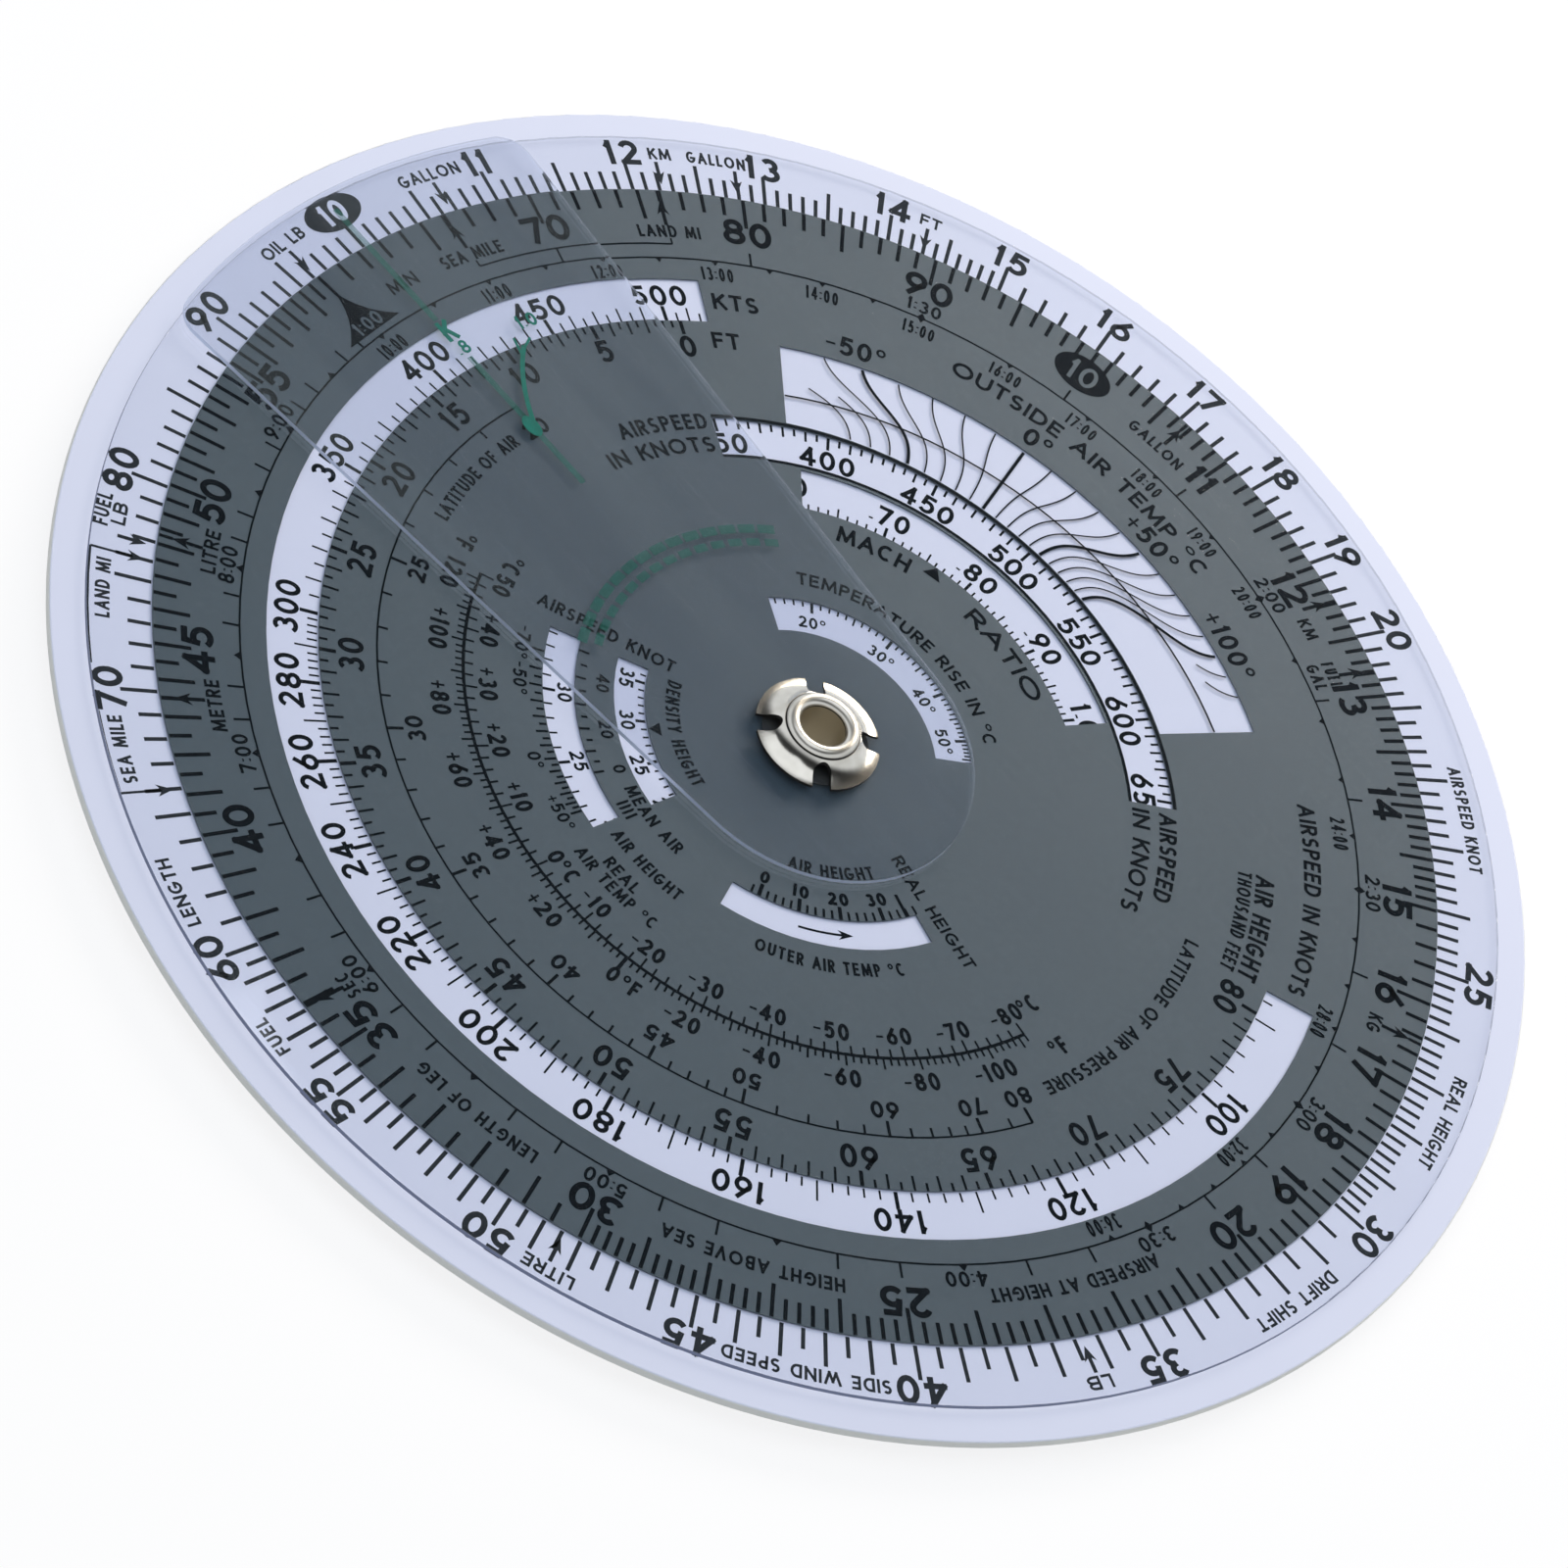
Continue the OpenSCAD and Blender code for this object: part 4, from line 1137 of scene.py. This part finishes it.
class FLIGHT_OT_azimuth_disc(bpy.types.Operator):
    """Finishes the clear azimuth disc and prints its compass rose on the inner face"""

    bl_idname = "flight.azimuth_disc"
    bl_label = "Azimuth disc"

    def execute(self, context):
        sizes, finish = context.scene.flight_print, context.scene.flight_finish
        dress("azimuth_disc", clear_plate(finish))
        rose = InkSheet(AZIMUTH_FRONT + 0.1 * sizes.ink_t, AZIMUTH_FRONT + sizes.ink_t, mirrored=True)
        degree_ring(rose, AZIMUTH_R, (1.3, 2.0, 2.8), 5.6 * MM, sizes)
        rose.build("azimuth_rose_print", "azimuth", black_ink(finish), "grey_print_film")
        return {"FINISHED"}


class FLIGHT_OT_hub(bpy.types.Operator):
    """Finishes the eyelet, the spring washer and the friction washers"""

    bl_idname = "flight.hub"
    bl_label = "Hub"

    def execute(self, context):
        finish = context.scene.flight_finish
        plated = finish_of("bright_nickel_plate", nickel_plate, finish)
        for name in ("hub_eyelet", "spring_washer"):
            dress(name, plated)
        fibre = finish_of("vulcanised_fibre", vulcanised_fibre, finish)
        for name in ("computing_spacer", "cursor_spacer", "wind_spacer", "azimuth_spacer"):
            dress(name, fibre)
        return {"FINISHED"}


def area_lamp(name, place, aim, size, radiance, colour):
    """Rectangular lamp that looks at a point. Its power is radiance times pi times its area."""
    data = bpy.data.lights.new(name, "AREA")
    data.shape = "RECTANGLE"
    data.size, data.size_y = size
    data.color = linear(colour)[:3]
    data.energy = radiance * math.pi * size[0] * size[1]
    lamp = bpy.data.objects.new(name, data)
    lamp.location = place
    lamp.rotation_euler = (Vector(aim) - Vector(place)).to_track_quat("-Z", "Y").to_euler()
    bpy.context.collection.objects.link(lamp)


def studio_world(studio):
    """Room light: white to the camera. In gloss and through glass a white backdrop stands up to 35 degrees
    and fades to a dim ceiling at 52 degrees."""
    world = bpy.data.worlds.new("studio_room")
    node = node_adder(world)
    ray = node("ShaderNodeLightPath").outputs
    way = node("ShaderNodeTexCoord").outputs["Generated"]
    height = node("ShaderNodeSeparateXYZ", {"Vector": way}).outputs["Z"]
    backdrop = node("ShaderNodeMapRange", {"Value": height, "From Min": 0.5, "From Max": 0.74,
                                           "To Min": 1.0, "To Max": studio.ceiling},
                    interpolation_type="SMOOTHSTEP")
    mirrored = node("ShaderNodeMath", {0: ray["Is Glossy Ray"], 1: ray["Is Transmission Ray"]},
                    operation="MAXIMUM")
    level = studio.room
    for share, other in ((mirrored, backdrop), (ray["Is Camera Ray"], 1.0)):
        level = node("ShaderNodeMix", {"Factor": share, "A": level, "B": other}, data_type="FLOAT")
    tint = node("ShaderNodeMix", {"Factor": ray["Is Camera Ray"], "A": linear(DAYLIGHT),
                                  "B": linear("#FFFFFF")}, data_type="RGBA")
    sky = node("ShaderNodeBackground", {"Color": tint, "Strength": level})
    node("ShaderNodeOutputWorld", {"Surface": sky})
    bpy.context.scene.world = world


class FLIGHT_OT_studio(bpy.types.Operator):
    """Lays the floor, hangs the lamps and sets the camera"""

    bl_idname = "flight.studio"
    bl_label = "Studio"

    def execute(self, context):
        studio = context.scene.flight_studio
        half = 2.5
        corners = [(-half, -half, 0), (half, -half, 0), (half, half, 0), (-half, half, 0)]
        mesh = bpy.data.meshes.new("studio_floor")
        mesh.from_pydata(corners, [], [(0, 1, 2, 3)])
        mesh.materials.append(finish_of("studio_paper", studio_paper))
        floor = bpy.data.objects.new("studio_floor", mesh)
        context.collection.objects.link(floor)
        studio_world(studio)
        centre = (0, 0, BASE_FRONT)
        area_lamp("overhead_softbox", (0.05, 0.1, 1.2), centre, (1.1, 1.1), 1.28, DAYLIGHT)
        area_lamp("side_softbox", (0.6, 0.1, 0.33), centre, (0.5, 0.25), 8.5, LAMPLIGHT)
        self.aim_camera(context.scene, studio)
        context.scene.view_settings.view_transform = "Standard"
        return {"FINISHED"}

    def aim_camera(self, scene, studio):
        """Camera axes from bearing, elevation and roll: back points from the target to the camera."""
        a, e, roll = studio.azimuth, studio.elevation, studio.roll
        back = Vector((math.cos(e) * math.cos(a), math.cos(e) * math.sin(a), math.sin(e)))
        level = Vector((-math.sin(a), math.cos(a), 0))
        upright = back.cross(level)
        right = math.cos(roll) * level + math.sin(roll) * upright
        up = math.cos(roll) * upright - math.sin(roll) * level
        data = bpy.data.cameras.new("photo_camera")
        data.lens = studio.lens
        data.sensor_width = 36
        data.clip_start = 0.01
        camera = bpy.data.objects.new("photo_camera", data)
        place = Vector((studio.target_x, studio.target_y, BASE_FRONT)) + studio.distance * back
        camera.matrix_world = Matrix.Translation(place) @ Matrix((right, up, back)).transposed().to_4x4()
        scene.collection.objects.link(camera)
        scene.camera = camera


OPERATORS = (FLIGHT_OT_base_disc, FLIGHT_OT_computing_disc, FLIGHT_OT_cursor, FLIGHT_OT_wind_disc,
             FLIGHT_OT_azimuth_disc, FLIGHT_OT_hub, FLIGHT_OT_studio)


class FLIGHT_PT_panel(bpy.types.Panel):
    """Lists the flight computer's operators"""

    bl_idname = "FLIGHT_PT_panel"
    bl_label = "Flight computer"
    bl_space_type = "VIEW_3D"
    bl_region_type = "UI"
    bl_category = "Flight computer"

    def draw(self, context):
        for operator in OPERATORS:
            self.layout.operator(operator.bl_idname)


CLASSES = (PrintSizes, Finishes, Studio, *OPERATORS, FLIGHT_PT_panel)


def register():
    for item in CLASSES:
        bpy.utils.register_class(item)
    bpy.types.Scene.flight_print = PointerProperty(type=PrintSizes)
    bpy.types.Scene.flight_finish = PointerProperty(type=Finishes)
    bpy.types.Scene.flight_studio = PointerProperty(type=Studio)


def unregister():
    del bpy.types.Scene.flight_studio
    del bpy.types.Scene.flight_finish
    del bpy.types.Scene.flight_print
    for item in reversed(CLASSES):
        bpy.utils.unregister_class(item)


def main():
    """Registers the add-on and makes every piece."""
    register()
    bpy.ops.flight.base_disc()
    bpy.ops.flight.computing_disc()
    bpy.ops.flight.cursor()
    bpy.ops.flight.wind_disc()
    bpy.ops.flight.azimuth_disc()
    bpy.ops.flight.hub()
    bpy.ops.flight.studio()


if __name__ == "__main__":
    main()
